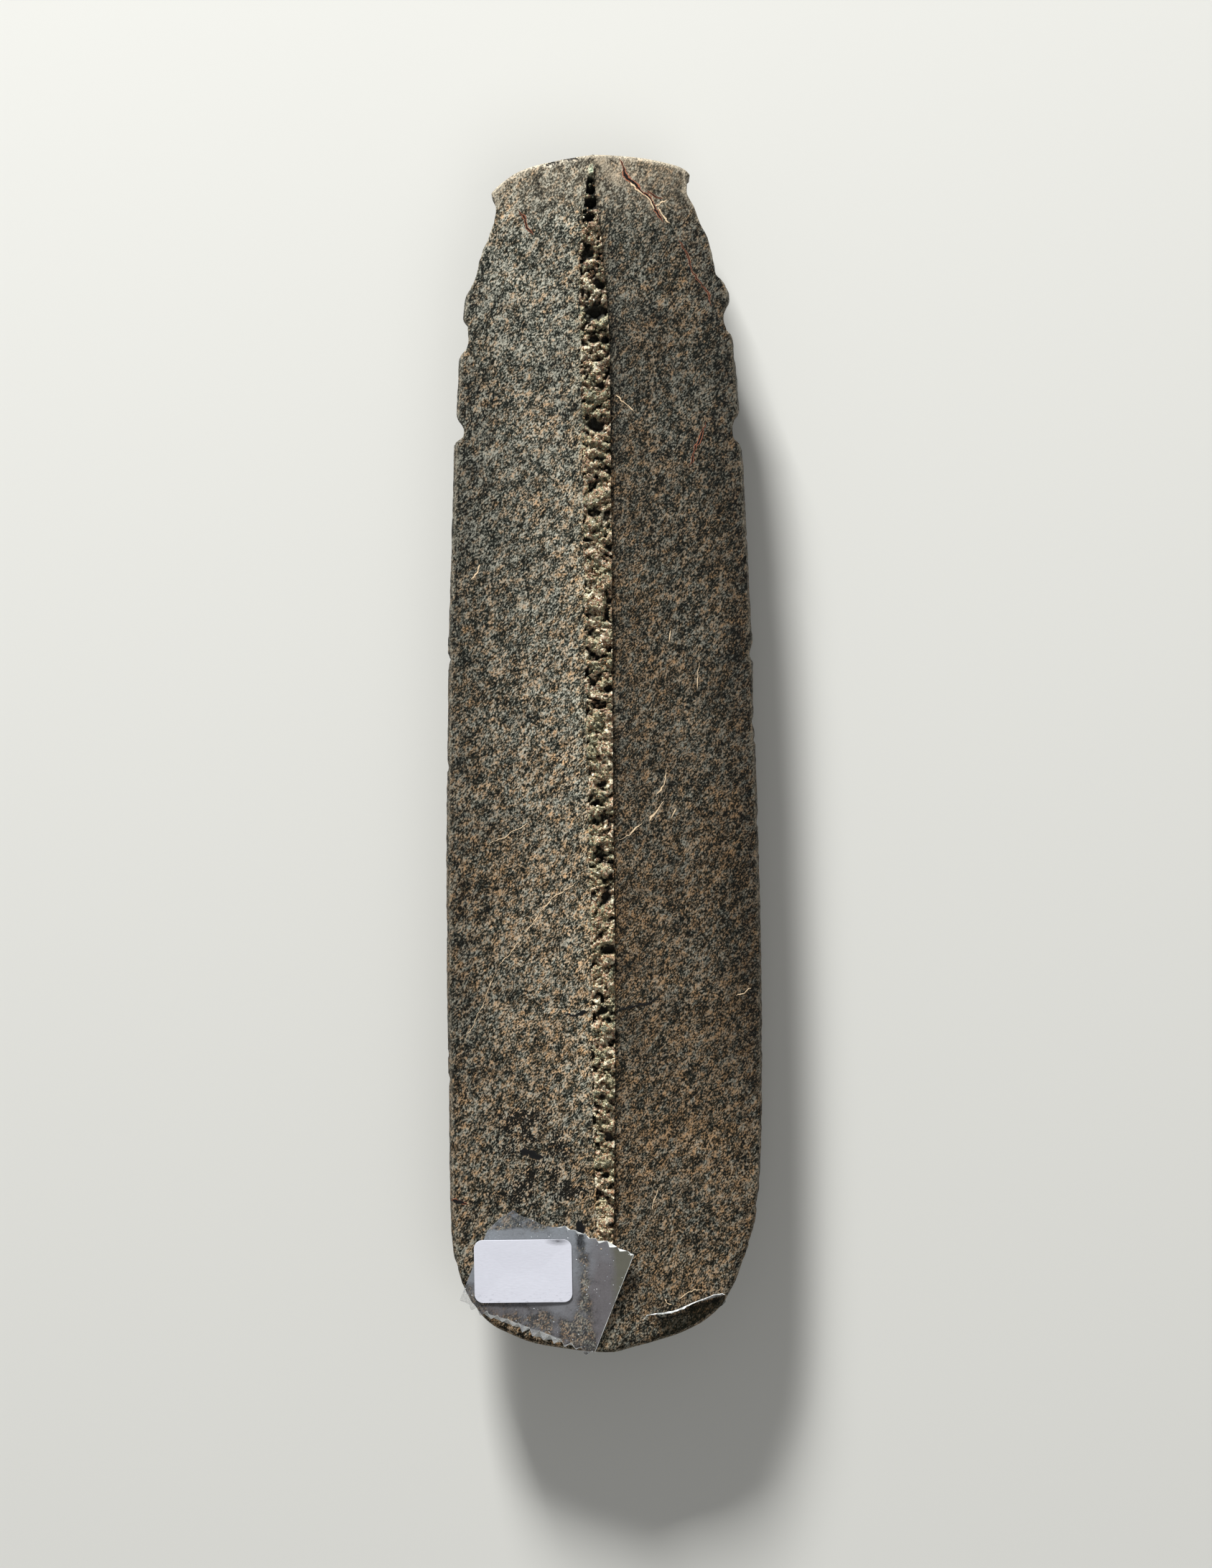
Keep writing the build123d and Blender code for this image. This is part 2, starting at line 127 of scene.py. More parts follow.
# Marks on the sawn faces: (width, height, points)
red_cracks = [
    (0.62, 0.020, [(3.60, 79.6), (4.43, 76.94), (5.47, 75.78), (6.89, 74.61), (8.02, 72.78), (9.24, 70.84)]),
    (0.34, 0.020, [(6.90, 75.0), (7.9, 74.3), (9.09, 73.82)]),
    (0.44, 0.020, [(-10.29, 72.81), (-9.4, 71.3), (-8.13, 69.43)]),
    (0.29, 0.020, [(11.14, 68.9), (12.16, 66.68), (13.0, 64.08), (14.98, 61.57), (15.43, 59.26)]),
    (0.42, 0.020, [(14.66, 44.21), (13.2, 41.2), (12.19, 38.01)]),
    (0.57, 0.020, [(-20.87, -59.2), (-19.6, -59.4), (-18.58, -59.98)]),
]
pale_scratches = [
    (0.32, 0.030, [(4.6, 76.5), (5.65, 75.35), (7.0, 74.2), (8.15, 72.4)]),
    (0.24, 0.030, [(8.5, 73.0), (9.2, 71.9), (10.1, 70.7)]),
    (0.16, 0.030, [(7.65, -72.8), (7.9, -73.4), (8.5, -73.6)]),
    (0.16, 0.030, [(9.3, -73.1), (10.2, -72.1), (12.5, -71.7)]),
    (0.26, 0.030, [(8.0, 73.1), (9.0, 73.5), (9.8, 73.9)]),
    (0.27, 0.030, [(2.44, 47.82), (3.6, 46.9), (4.80, 45.58)]),
    (0.24, 0.030, [(-15.68, 25.42), (-16.4, 24.5), (-17.43, 23.52)]),
    (0.34, 0.030, [(8.46, -6.53), (7.5, -7.5), (6.13, -8.89)]),
    (0.24, 0.030, [(8.7, -2.5), (8.4, -4.2), (7.2, -5.6)]),
    (0.22, 0.030, [(9.8, -7.4), (9.4, -8.9)]),
    (0.20, 0.030, [(5.2, -9.1), (3.6, -10.9), (2.1, -11.7)]),
    (0.17, 0.030, [(-3.27, -16.83), (-5.6, -18.4), (-8.01, -20.51), (-9.4, -22.4), (-11.03, -24.31)]),
    (0.20, 0.030, [(-11.03, -24.31), (-12.4, -26.4), (-14.25, -28.29)]),
    (0.14, 0.030, [(-14.25, -28.29), (-15.8, -32.6), (-17.90, -36.78), (-19.17, -38.68)]),
    (0.22, 0.030, [(17.63, -32.63), (18.5, -32.1), (19.56, -31.40)]),
    (0.14, 0.030, [(-9.6, -8.9), (-12.6, -10.6), (-15.4, -11.9)]),
    (0.15, 0.030, [(5.9, -61.3), (6.4, -59.4), (6.9, -57.9)]),
    (0.19, 0.030, [(9.5, 16.4), (9.1, 14.9)]),
    (0.13, 0.030, [(13.2, 12.1), (12.8, 8.4)]),
]
ink_marks = [
    (0.55, 0.012, [(-5.41, -34.73), (-3.1, -34.6), (-2.0, -34.4)]),
    (0.35, 0.012, [(1.69, -34.06), (4.2, -33.7), (7.65, -32.79)]),
    (1.15, 0.015, [(-11.59, -53.07), (-10.2, -53.2), (-9.4, -53.8), (-8.43, -53.87)]),
    (1.45, 0.015, [(-3.78, -62.1), (-3.72, -63.6), (-3.6, -65.0), (-3.5, -66.0)]),
    (0.50, 0.012, [(-20.6, -59.35), (-19.7, -59.5), (-19.0, -59.7)]),
]

# Tape before its ends are cut, across and along its own turned axes: its two ends, and the smear above
tape_foot = [(-9.9, -6.4), (9.4, -5.9)]
tape_head = [(-9.6, 4.15), (-2.2, 7.7), (-1.0, 8.1), (9.4, 8.2)]
smear_rows = [(-9.6, 0.0), (-8.8, 1.8), (-7.8, 2.5), (-5.5, 1.3), (-2.5, 0.0)]

# Label: its middle in plan, then rings from below to above (inset from its edge, share of its thickness)
label_middle = (-11.31, -68.96)
label_rings = [
    (3.94, 0.0), (0.0, 0.0), (0.0, 0.7), (0.03, 1.0), (0.35, 1.0), (1.2, 1.0), (2.1, 1.0), (3.0, 1.0),
    (3.94, 1.0),
]

# Film scrap in plan: its torn upper edge, then its lower edge near the rim
film_upper = [
    (4.7, -75.5), (5.2, -75.0), (7.2, -74.8), (8.76, -74.62), (10.01, -74.15), (11.84, -73.3),
    (14.06, -72.42), (15.1, -72.32), (15.59, -72.45),
]
film_lower = [
    (4.8, -77.9), (5.8, -78.25), (7.4, -78.0), (8.9, -77.5), (10.3, -76.85), (12.0, -75.9), (14.2, -74.4),
    (15.2, -73.9), (15.68, -73.45),
]


class StoneSettings(bpy.types.PropertyGroup):
    """Sizes and colours of the carved stone."""

    thickness: FloatProperty(
        name="Thickness", description="From the resting flat to the top of the septum",
        default=0.015, unit="LENGTH")
    length: FloatProperty(
        name="Length", description="From the blade's edge to the crest", default=0.160, unit="LENGTH")
    width: FloatProperty(
        name="Width", description="Across the flanks at the middle", default=0.0422, unit="LENGTH")
    flank_drop: FloatProperty(
        name="Flank drop", description="Widest line of the flanks, below the septum",
        default=0.00405, unit="LENGTH")
    belly_depth: FloatProperty(
        name="Belly depth", description="Depth of the convex front below the flanks",
        default=0.0112, unit="LENGTH")
    left_root: FloatProperty(
        name="Left root", description="Left face beside the septum, below the septum's top",
        default=0.00050, unit="LENGTH")
    right_root: FloatProperty(
        name="Right root", description="Right face beside the septum, below the septum's top",
        default=0.00095, unit="LENGTH")
    left_rim: FloatProperty(
        name="Left rim", description="Left rim, below the septum's top", default=0.0016, unit="LENGTH")
    right_rim: FloatProperty(
        name="Right rim", description="Right rim, below the septum's top", default=0.0021, unit="LENGTH")
    face_dish: FloatProperty(
        name="Dish of the left face", description="Hollow that the saw left in the left face",
        default=0.00042, unit="LENGTH")
    face_swell: FloatProperty(
        name="Swell of the right face", description="Rise of the right face between septum and rim",
        default=0.00030, unit="LENGTH")
    trench_depth: FloatProperty(
        name="Trench depth", description="Floor under the septum's broken crystals",
        default=0.0021, unit="LENGTH")
    edge_wear: FloatProperty(
        name="Edge wear", description="Rounding of the rim", default=0.00026, unit="LENGTH")
    blade_wear: FloatProperty(
        name="Blade wear", description="Rounding of the rim round the blade", default=0.0010, unit="LENGTH")
    row_spacing: FloatProperty(
        name="Row spacing", description="Distance between the mesh's rows", default=0.00029, unit="LENGTH")
    septum_drop: FloatProperty(
        name="Septum drop", description="Mean level of the snapped septum, below its highest point",
        default=0.00062, unit="LENGTH")
    ledge: FloatProperty(
        name="Ledge height", description="Height of the septum's broken ledges",
        default=0.00062, unit="LENGTH")
    lump_size: FloatProperty(
        name="Lump size", description="Size of the septum's larger lumps", default=0.0018, unit="LENGTH")
    chunk_size: FloatProperty(
        name="Chunk size", description="Size of the chunks that the lumps break into",
        default=0.00078, unit="LENGTH")
    crumb_size: FloatProperty(
        name="Crumb size", description="Size of the smallest broken facets", default=0.00042, unit="LENGTH")
    septum_mesh: FloatProperty(
        name="Septum mesh", description="Distance between the points of the snapped septum",
        default=0.00011, unit="LENGTH")
    grain_small: FloatProperty(
        name="Smallest grain", description="Smallest loose crystal on the septum",
        default=0.00009, unit="LENGTH")
    grain_large: FloatProperty(
        name="Largest grain", description="Largest loose crystal on the septum",
        default=0.00034, unit="LENGTH")
    grain_density: FloatProperty(
        name="Grains", description="Crystals on each square metre of the septum", default=9.0e6)
    speckle: FloatProperty(
        name="Speckle", description="Size of the stone's mineral grains", default=0.00042, unit="LENGTH")
    dark_colour: FloatVectorProperty(
        name="Dark grains", description="Blue-grey amphibole grains",
        subtype="COLOR", size=3, default=(0.120, 0.130, 0.116))
    middle_colour: FloatVectorProperty(
        name="Ground", description="Grey-brown ground of the stone",
        subtype="COLOR", size=3, default=(0.285, 0.283, 0.264))
    pale_colour: FloatVectorProperty(
        name="Pale grains", description="Cream feldspar grains",
        subtype="COLOR", size=3, default=(0.475, 0.466, 0.44))


class TapeSettings(bpy.types.PropertyGroup):
    """Sizes and colours of the tape, the label and the scrap of film."""

    tape_x: FloatProperty(
        name="Tape middle, across", description="Middle of the tape from the centre line",
        default=-0.0084, unit="LENGTH")
    tape_y: FloatProperty(
        name="Tape middle, along", description="Middle of the tape along the stone",
        default=-0.0710, unit="LENGTH")
    tape_turn: FloatProperty(
        name="Tape turn", description="Turn of the tape on the stone",
        default=math.radians(-22.4), subtype="ANGLE")
    film_thickness: FloatProperty(
        name="Film thickness", description="Thickness of the tape and of the scrap",
        default=0.00006, unit="LENGTH")
    film_gap: FloatProperty(
        name="Film gap", description="Glue between the film and the stone", default=0.00004, unit="LENGTH")
    tooth_pitch: FloatProperty(
        name="Tooth pitch", description="From tooth to tooth of the cut ends", default=0.0015, unit="LENGTH")
    tooth_height: FloatProperty(
        name="Tooth height", description="Depth of the cutter's teeth", default=0.00055, unit="LENGTH")
    bubble_density: FloatProperty(
        name="Bubbles", description="Bubbles on each square metre of tape", default=3.2e5)
    bubble_small: FloatProperty(
        name="Smallest bubble", description="Smallest bubble under the tape", default=0.00006, unit="LENGTH")
    bubble_large: FloatProperty(
        name="Largest bubble", description="Largest bubble under the tape", default=0.00017, unit="LENGTH")
    label_length: FloatProperty(
        name="Label length", description="Longer side of the label", default=0.01308, unit="LENGTH")
    label_width: FloatProperty(
        name="Label width", description="Shorter side of the label", default=0.0084, unit="LENGTH")
    label_corner: FloatProperty(
        name="Label corner", description="Radius of the label's corners", default=0.00115, unit="LENGTH")
    label_thickness: FloatProperty(
        name="Label thickness", description="Paper and its glue", default=0.00012, unit="LENGTH")
    haze_colour: FloatVectorProperty(
        name="Haze", description="Blue-grey haze of lifted tape",
        subtype="COLOR", size=3, default=(0.56, 0.56, 0.565))
    paper_colour: FloatVectorProperty(
        name="Paper", description="Cool white paper", subtype="COLOR", size=3, default=(0.80, 0.805, 0.84))


class StageSettings(bpy.types.PropertyGroup):
    """Floor, lights and camera."""

    camera_height: FloatProperty(
        name="Camera height", description="Of the lens above the floor", default=0.5955, unit="LENGTH")
    camera_x: FloatProperty(
        name="Camera across", description="Of the lens from the centre line", default=0.00057, unit="LENGTH")
    camera_y: FloatProperty(
        name="Camera along", description="Of the lens along the stone", default=-0.00404, unit="LENGTH")
    camera_roll: FloatProperty(
        name="Camera roll", description="Turn of the camera about its view",
        default=math.radians(-0.72), subtype="ANGLE")
    lens: FloatProperty(name="Focal length", description="Of the lens, in millimetres", default=100.0)
    key_power: FloatProperty(name="Key power", description="Of the soft key light, in watts", default=31.0)
    fill_strength: FloatProperty(name="Fill", description="Brightness of the room", default=0.20)
    key_elevation: FloatProperty(
        name="Key elevation", description="Of the key light above the floor",
        default=math.radians(24.0), subtype="ANGLE")
    key_swing: FloatProperty(
        name="Key swing", description="Of the key light to the left of the crest",
        default=math.radians(15.0), subtype="ANGLE")
    key_size: FloatProperty(
        name="Key size", description="Side of the soft key light", default=0.24, unit="LENGTH")
    floor_colour: FloatVectorProperty(
        name="Floor", description="Plain pale floor", subtype="COLOR", size=3, default=(0.80, 0.80, 0.78))


def in_millimetres(settings):
    """A copy of a settings group whose lengths are in millimetres."""
    copy = SimpleNamespace()
    for item in settings.bl_rna.properties:
        value = getattr(settings, item.identifier)
        is_length = getattr(item, "unit", "NONE") == "LENGTH"
        setattr(copy, item.identifier, value / MM if is_length else value)
    return copy


def line_noise(at, size, seed):
    """Smooth noise along a single line."""
    return soft_noise(at, at * 0, size, seed)


def rise(value, start, reach):
    """From 0 at the start to 1 past the reach, which is negative for a fall."""
    return np.clip((value - start) / reach, 0, 1)


def blob(x, y, middle, reach, powers=(2, 2)):
    """A soft patch: 1 at its middle, fading over its reach."""
    return np.exp(-(((x - middle[0]) / reach[0]) ** powers[0] + ((y - middle[1]) / reach[1]) ** powers[1]))


def through(at, rows, column=1):
    """A column of a table at places along it."""
    rows = np.array(rows)
    return np.interp(at, rows[:, 0], rows[:, column])


def turned(middle, turn, u, v):
    """X and Y of places along and across a sheet that is turned about its middle."""
    x = middle[0] + u * math.cos(turn) - v * math.sin(turn)
    return x, middle[1] + u * math.sin(turn) + v * math.cos(turn)


def linear(colour):
    """Linear colour for a shader from an sRGB hex value, or from shares of sRGB white."""
    if isinstance(colour, str):
        colour = [int(colour[i:i + 2], 16) / 255 for i in (1, 3, 5)]
    shares = [c / 12.92 if c <= 0.04045 else ((c + 0.055) / 1.055) ** 2.4 for c in colour]
    return (*shares, 1.0)


def between(low, high, share):
    """Linear colour between two others, or beyond them, in even steps of brightness."""
    return [a ** (1 - share) * b ** share for a, b in zip(low, high)]


def lattice(i, j, seed):
    """A repeatable random share for each whole place of a grid."""
    n = (i * 374761393 + j * 668265263 + seed * 974634777) & 0x7FFFFFFF
    n = ((n ^ (n >> 13)) * 1274126177) & 0x7FFFFFFF
    return ((n ^ (n >> 16)) & 0xFFFF) / 65535.0


def soft_noise(x, y, size, seed):
    """Smooth noise from -1 to 1 with lumps of a size."""
    u, v = np.asarray(x / size), np.asarray(y / size)
    i, j = np.floor(u).astype(np.int64), np.floor(v).astype(np.int64)
    a, b = u - i, v - j
    a, b = a * a * (3 - 2 * a), b * b * (3 - 2 * b)
    low = lattice(i, j, seed) * (1 - a) + lattice(i + 1, j, seed) * a
    high = lattice(i, j + 1, seed) * (1 - a) + lattice(i + 1, j + 1, seed) * a
    return 2 * (low * (1 - b) + high * b) - 1


def broken_planes(x, y, size, tilt, step, seed):
    """Height and shade of a surface broken into cells, each a plane with its own tilt and level."""
    u, v = np.asarray(x / size), np.asarray(y / size)
    i, j = np.floor(u).astype(np.int64), np.floor(v).astype(np.int64)
    total, height, shade = np.zeros((3, *u.shape))
    for di in (-1, 0, 1):
        for dj in (-1, 0, 1):
            chance = [lattice(i + di, j + dj, seed + k) for k in range(6)]
            du, dv = u - (i + di + 0.1 + 0.8 * chance[0]), v - (j + dj + 0.1 + 0.8 * chance[1])
            weight = np.exp(-42 * np.hypot(du, dv)) + 1e-14
            slope = tilt * size * ((2 * chance[2] - 1) * du + (2 * chance[3] - 1) * dv)
            height += weight * (step * (2 * chance[4] - 1) + slope)
            shade += weight * chance[5]
            total += weight
    return height / total, shade / total


def end_warp(y):
    """Stretches the ends of the length, so that straight steps in a table give round ends."""
    left = HALF_LENGTH - np.abs(y)
    left = np.where(left < ROUND_END, np.sqrt(np.maximum(left, 0) * ROUND_END), left)
    return np.sign(y) * (HALF_LENGTH - left)


def smooth_through(at, places, values):
    """A smooth curve through measured places that never swings past them."""
    values = np.asarray(values, float)
    steps = np.diff(places)
    slopes = np.diff(values) / steps
    turn = slopes[:-1] * slopes[1:]
    inner = np.where(turn > 0, 2 * turn / np.where(turn > 0, slopes[:-1] + slopes[1:], 1), 0)
    lean = np.concatenate([slopes[:1], inner, slopes[-1:]])
    leg = np.clip(np.searchsorted(places, at) - 1, 0, len(steps) - 1)
    t = np.clip((at - places[leg]) / steps[leg], 0, 1)
    start, end = values[leg], values[leg + 1]
    sway = steps[leg] * (lean[leg] * t * (1 - t) ** 2 - lean[leg + 1] * t**2 * (1 - t))
    return start + (end - start) * t**2 * (3 - 2 * t) + sway


def outline(y, side):
    """Widest X of the stone on a side, with small chips along the flank."""
    rows = np.array(left_outline if side < 0 else right_outline)
    base = smooth_through(end_warp(y), end_warp(rows[:, 0]), rows[:, 1])
    wobble = 0.05 * line_noise(y, 1.1, 31 + side) + 0.03 * line_noise(y, 0.45, 41 + side)
    chips = np.maximum(0, line_noise(y, 1.6, 51 + side) - 0.72) * 0.9
    return base + side * (wobble - chips) * rise(np.abs(y), HALF_LENGTH, -6)


def section(stone, y, column):
    """One column of the cross sections at Y, in millimetres."""
    scale = stone.belly_depth if column == 3 else stone.width / 2
    return through(y / stone.length + 0.5, section_rows, column) * scale


def septum_edge(y, side):
    """X of the septum's edge on a side: bitten on the left, nearly straight on the right."""
    if side < 0:
        rough = 0.13 * line_noise(y, 1.1, 3) + 0.10 * line_noise(y, 0.42, 4)
    else:
        rough = 0.035 * line_noise(y, 2.2, 5) + 0.025 * line_noise(y, 0.5, 6)
    return through(y, septum_rows, 1 if side < 0 else 2) + rough * rise(np.abs(y + 1.3), 78.6, -4)


def sawn_face(stone, x, y):
    """Height of the two sawn faces, before the rim is worn."""
    share = np.clip(np.abs(x) / (stone.width / 2), 0, 1)
    left = stone.left_root + (stone.left_rim - stone.left_root) * share
    left = left + stone.face_dish * 4 * share * (1 - share)
    right = stone.right_root + (stone.right_rim - stone.right_root) * share
    right = right - stone.face_swell * 4 * share * (1 - share)
    drop = np.where(x < 0, left, right)

    # Past the ends of the septum the two faces come level
    level = (rise(y, 77.6, 1.2) + rise(y, -73.6, -2.6)) * np.clip(1.25 - np.abs(x) / 2.6, 0, 1) ** 2
    drop = drop + (0.5 * (stone.left_root + stone.right_root) - drop) * np.clip(level, 0, 1)
    waves = 0.035 * soft_noise(x, y, 9.0, 61) + 0.012 * soft_noise(x * 1.6, y * 0.35, 1.2, 62)
    bevel = rise(y, 75.4, 4.6) ** 1.5 * rise(np.abs(x - 3.8), 5.4, -5.4)
    flakes = sum(deep * blob(x, y, (cx, cy), (wide, wide / math.sqrt(3))) for cx, cy, wide, deep in crest_chips)
    scab = np.clip(stain_share(x, y) * 1.4, 0, 1) * 0.02 * soft_noise(x, y, 0.9, 63)
    return stone.thickness - drop + waves - 0.55 * bevel - flakes + scab


def stain_share(x, y):
    """How dark and scabby the sooty patch at the lower left is, and how dark the spots at the crest's two chips
    are.
    """
    patch = blob(x, y, (-9.6, -55.6), (5.2, 7.6), (4, 4))
    core = 0.62 * blob(x, y, (-4.0, -58.4), (2.0, 0.8), (4, 2)) + 0.7 * blob(x, y, (-10.6, -48.3), (3.6, 0.9))
    # Dark spots at the crest's two chips
    for cx, cy, wide, _ in crest_chips[:2]:
        core = core + 1.1 * blob(x, y, (cx, cy - 0.15), (0.8 * wide, 0.4 * wide))
    return np.clip(patch * (0.34 + 0.4 * soft_noise(x, y, 1.7, 71)) + 0.95 * core, 0, 1)


def torn_top(stone, x, y):
    """Height and shade of the snapped septum: lumps that break into chunks and crumbs, with deep pits."""
    bend = 0.55 * soft_noise(x, y, 2.6, 81)
    lumps, lump_shade = broken_planes(x + bend, y + 0.7 * bend, stone.lump_size, 0.55, 0.34, 82)
    chunks, chunk_shade = broken_planes(x - 0.4 * bend, y + bend, stone.chunk_size, 0.9, 0.32, 92)
    crumbs, _ = broken_planes(x, y, stone.crumb_size, 1.0, 0.14, 102)
    slant = 0.30 * x * np.sign(soft_noise(x * 0, y, 3.2, 86))
    climb = y / 2.6 + slant + 0.42 * soft_noise(x, y, 1.3, 84) + 0.5 * soft_noise(x * 0, y, 4.0, 85)
    climb = climb - np.floor(climb)
    ledges = stone.ledge * (0.5 - np.where(climb < 0.86, climb / 0.86, (1 - climb) / 0.14))
    broken = ledges + lumps + chunks + crumbs
    holes = np.zeros_like(broken)
    wander = 0.5 * soft_noise(x, y, 0.7, 83)
    for cx, cy, wide, deep in septum_pits:
        away = ((x - cx) / (0.95 * wide)) ** 2 + ((y - cy) / (0.82 * wide)) ** 2
        holes = np.maximum(holes, deep * np.exp(-np.maximum(away + wander, 0) ** 1.4))
    height = stone.thickness - stone.septum_drop + broken * (1 - 0.8 * np.clip(holes, 0, 1)) - holes
    return np.minimum(height, stone.thickness + 0.02), 0.6 * lump_shade + 0.4 * chunk_shade


def septum_fade(y, spare=0.0):
    """How fully the septum is snapped: it dies out at the crest and at the blade."""
    return rise(y, 78.4 + spare, -0.8) * rise(y, -75.6 - spare, 2.5)


def columns(start, end, share):
    """Columns between two edges, at shares of the way across."""
    return start[:, None] + (end - start)[:, None] * share


def septum_mesh(stone):
    """Slab of broken crystals that fills the trench between the two sawn faces."""
    y = np.arange(-76.4, 79.0, 1.15 * stone.septum_mesh)
    left, right = septum_edge(y, -1), septum_edge(y, 1)
    lip, gap = 0.28, 0.03                        # reach over the left edge, and past the right one
    x = columns(left - lip, right, np.linspace(0, 1, int(SEPTUM_WIDTH / stone.septum_mesh)))
    rows = np.broadcast_to(y[:, None], x.shape)
    height, shade = torn_top(stone, x, rows)
    face = sawn_face(stone, np.minimum(x, -0.01), rows)
    inside = x - left[:, None]
    height = np.minimum(height, face + 0.14 + 0.5 * rise(inside, 0, 0.9) + np.where(inside < 0, 4 * inside, 0))
    fade = septum_fade(y, 0.6)[:, None]
    height = np.minimum(face - 0.03, height) * (1 - fade) + height * fade
    wall = np.minimum(sawn_face(stone, right + 0.02, y) - 0.4, height[:, -1])
    floor_z = np.full(y.shape, stone.thickness - stone.trench_depth - 0.5)
    sides = [np.stack([edge, y, z], axis=1)[:, None, :]
             for edge, z in ((right + gap, wall), (right + gap, floor_z), (left - lip, floor_z))]
    mesh = grid_mesh("snapped_septum", np.concatenate([np.stack([x, rows, height], axis=2), *sides], axis=1))
    # Painted shade: the lower a place lies, the darker, and darker again on the upper stretch
    level = stone.thickness - stone.septum_drop - height
    painted_shade = 0.30 * np.exp(-(((rows - 74.2) / 3.4) ** 4))
    tip = blob(x, rows, (-0.25, 77.9), (0.55, 0.75))
    layers = {"lump": shade, "depth": np.clip((level + 0.15) / 1.3 + painted_shade, 0, 1) * (1 - tip), "tip": tip}
    for name, values in layers.items():
        store(mesh, name, np.concatenate([values, np.full((len(y), 3), 0.5)], axis=1))
    return mesh


def tone_and_painted_light(x, y):
    """How light the stone is from place to place, partly its own tone and partly painted sheen and painted
    light falloff: palest beside the septum, darkest at the right rim.
    """
    tone = np.interp(x, [-21, -18, -14, -10, -6, -3.3, -2.0, 2.2, 4.5, 8, 13, 16, 18, 21],
                     [0.60, 0.70, 0.92, 1.12, 1.25, 1.42, 1.30, 0.53, 0.61, 0.60, 0.57, 0.44, 0.36, 0.28])
    # Painted light: brighter towards the upper left
    tone = tone * (1 + 0.45 * rise(y, 42, 25) * rise(x, -4, -8))
    blade = np.where(x < 0, 0.92, 0.78)
    low = 0.75 * rise(y, -38, -16)
    crest = rise(y, 66, 8) * rise(np.abs(x - 4), 9, -9)
    neck = rise(y, 48, 14) * (x > 1.5)
    return (tone * (1 - low) + blade * low) * (1 + 0.7 * crest + 0.12 * neck) * (1 + 0.09 * rise(y, 35, -20))


def bruise_share(x, y):
    """Pale bruised stone beside the long crack and on the bevel at the crest."""
    path = np.array(red_cracks[0][2])
    points = np.stack([x.ravel(), y.ravel()], axis=1)
    away = np.full(len(points), 99.0)
    near = (np.abs(points[:, 0] - 6) < 7) & (points[:, 1] > 67)
    away[near] = rim_distance(points[near], np.concatenate([path, path[::-1]]))
    halo = np.exp(-(away.reshape(x.shape) / 0.5) ** 2)
    ridge = np.exp(-(((x - 1.6) + 0.75 * (y - 78.4)) / 0.7) ** 2) * rise(y, 75.4, 1.6)
    return np.clip(0.6 * halo + 1.7 * ridge + 0.36 * rise(y, 70, 7), 0, 1)


def rim_distance(points, loop):
    """Shortest distance in plan from each point to a closed outline."""
    start, end = loop, np.roll(loop, -1, axis=0)
    run = end - start
    size = np.maximum((run**2).sum(axis=1), 1e-9)
    best = np.full(len(points), 1e9)
    for a, d, s in zip(start, run, size):
        offset = points - a
        share = np.clip((offset @ d) / s, 0, 1)
        away = offset - share[:, None] * d
        best = np.minimum(best, (away**2).sum(axis=1))
    return np.sqrt(best)


def carved_depth(stone, x, y):
    """Depth of the front's carving: grooves, folded wings, ringed eyes and raised beak."""
    depth = np.zeros_like(x)
    for place, turn, radius, deep in groove_rows:
        turn = math.radians(turn)
        away = (y - place - x * math.tan(turn)) * math.cos(turn)
        depth = np.maximum(depth, np.sqrt(np.maximum(radius**2 - away**2, 0)) - (radius - deep))
    slant, radius, deep = wing_groove
    reach = section(stone, y, 1)
    for place in wing_rows:
        away = (y - place - np.abs(x) * math.tan(slant)) * math.cos(slant)
        cut = np.sqrt(np.maximum(radius**2 - away**2, 0)) - (radius - deep)
        depth = np.maximum(depth, cut * np.clip((0.95 - np.abs(x) / reach) * 25, 0, 1))
    for side in (-1, 1):
        ring = np.hypot(x - side * eye_middle[0], y - eye_middle[1])
        depth = np.maximum(depth, 0.5 * np.clip(1 - ((ring - eye_radius) / 0.42) ** 4, 0, 1))
    on_beak = rise(y, 47.0, 1.2) * rise(y, 69.2, -1.6)
    beak = through(y, beak_rows, 2) * np.clip(1 - (x / through(y, beak_rows)) ** 2, 0, 1) * on_beak
    return np.where(beak > 0.02, -beak, depth)


def ring_places(stone):
    """Y of the stone's rings, which stand closer together at both ends and closest at the tips."""
    tip, end = 1.5, 75                           # length of each tip, and where the closer rings start
    tips = tip * np.linspace(0.06, 1, 11) ** 2
    middle = np.arange(-end, end, stone.row_spacing)
    ends = np.arange(end, HALF_LENGTH - tip, 0.45 * stone.row_spacing)
    return np.concatenate([-HALF_LENGTH + tips, -ends[::-1], middle[1:], ends, (HALF_LENGTH - tips)[::-1]])


def seam_lines(y, rim):
    """X of the septum's edges, kept well inside the rims, and of the close columns' far side."""
    reach, least = 0.8, 0.005                    # of the close columns, out from the septum's edge
    edge = {side: septum_edge(y, side) for side in (-1, 1)}
    band = {
        -1: np.maximum(edge[-1] - reach, rim[-1] + 0.45 * (edge[-1] - rim[-1])),
        1: np.minimum(edge[1] + reach, rim[1] - 0.45 * (rim[1] - edge[1])),
    }
    edge[-1] = np.maximum(edge[-1], 0.6 * rim[-1] + 0.4 * rim[1])
    edge[1] = np.maximum(np.minimum(edge[1], 0.4 * rim[-1] + 0.6 * rim[1]), edge[-1] + 0.02)
    band[-1] = np.minimum(band[-1], edge[-1] - least)
    band[1] = np.maximum(band[1], edge[1] + least)
    return edge, band


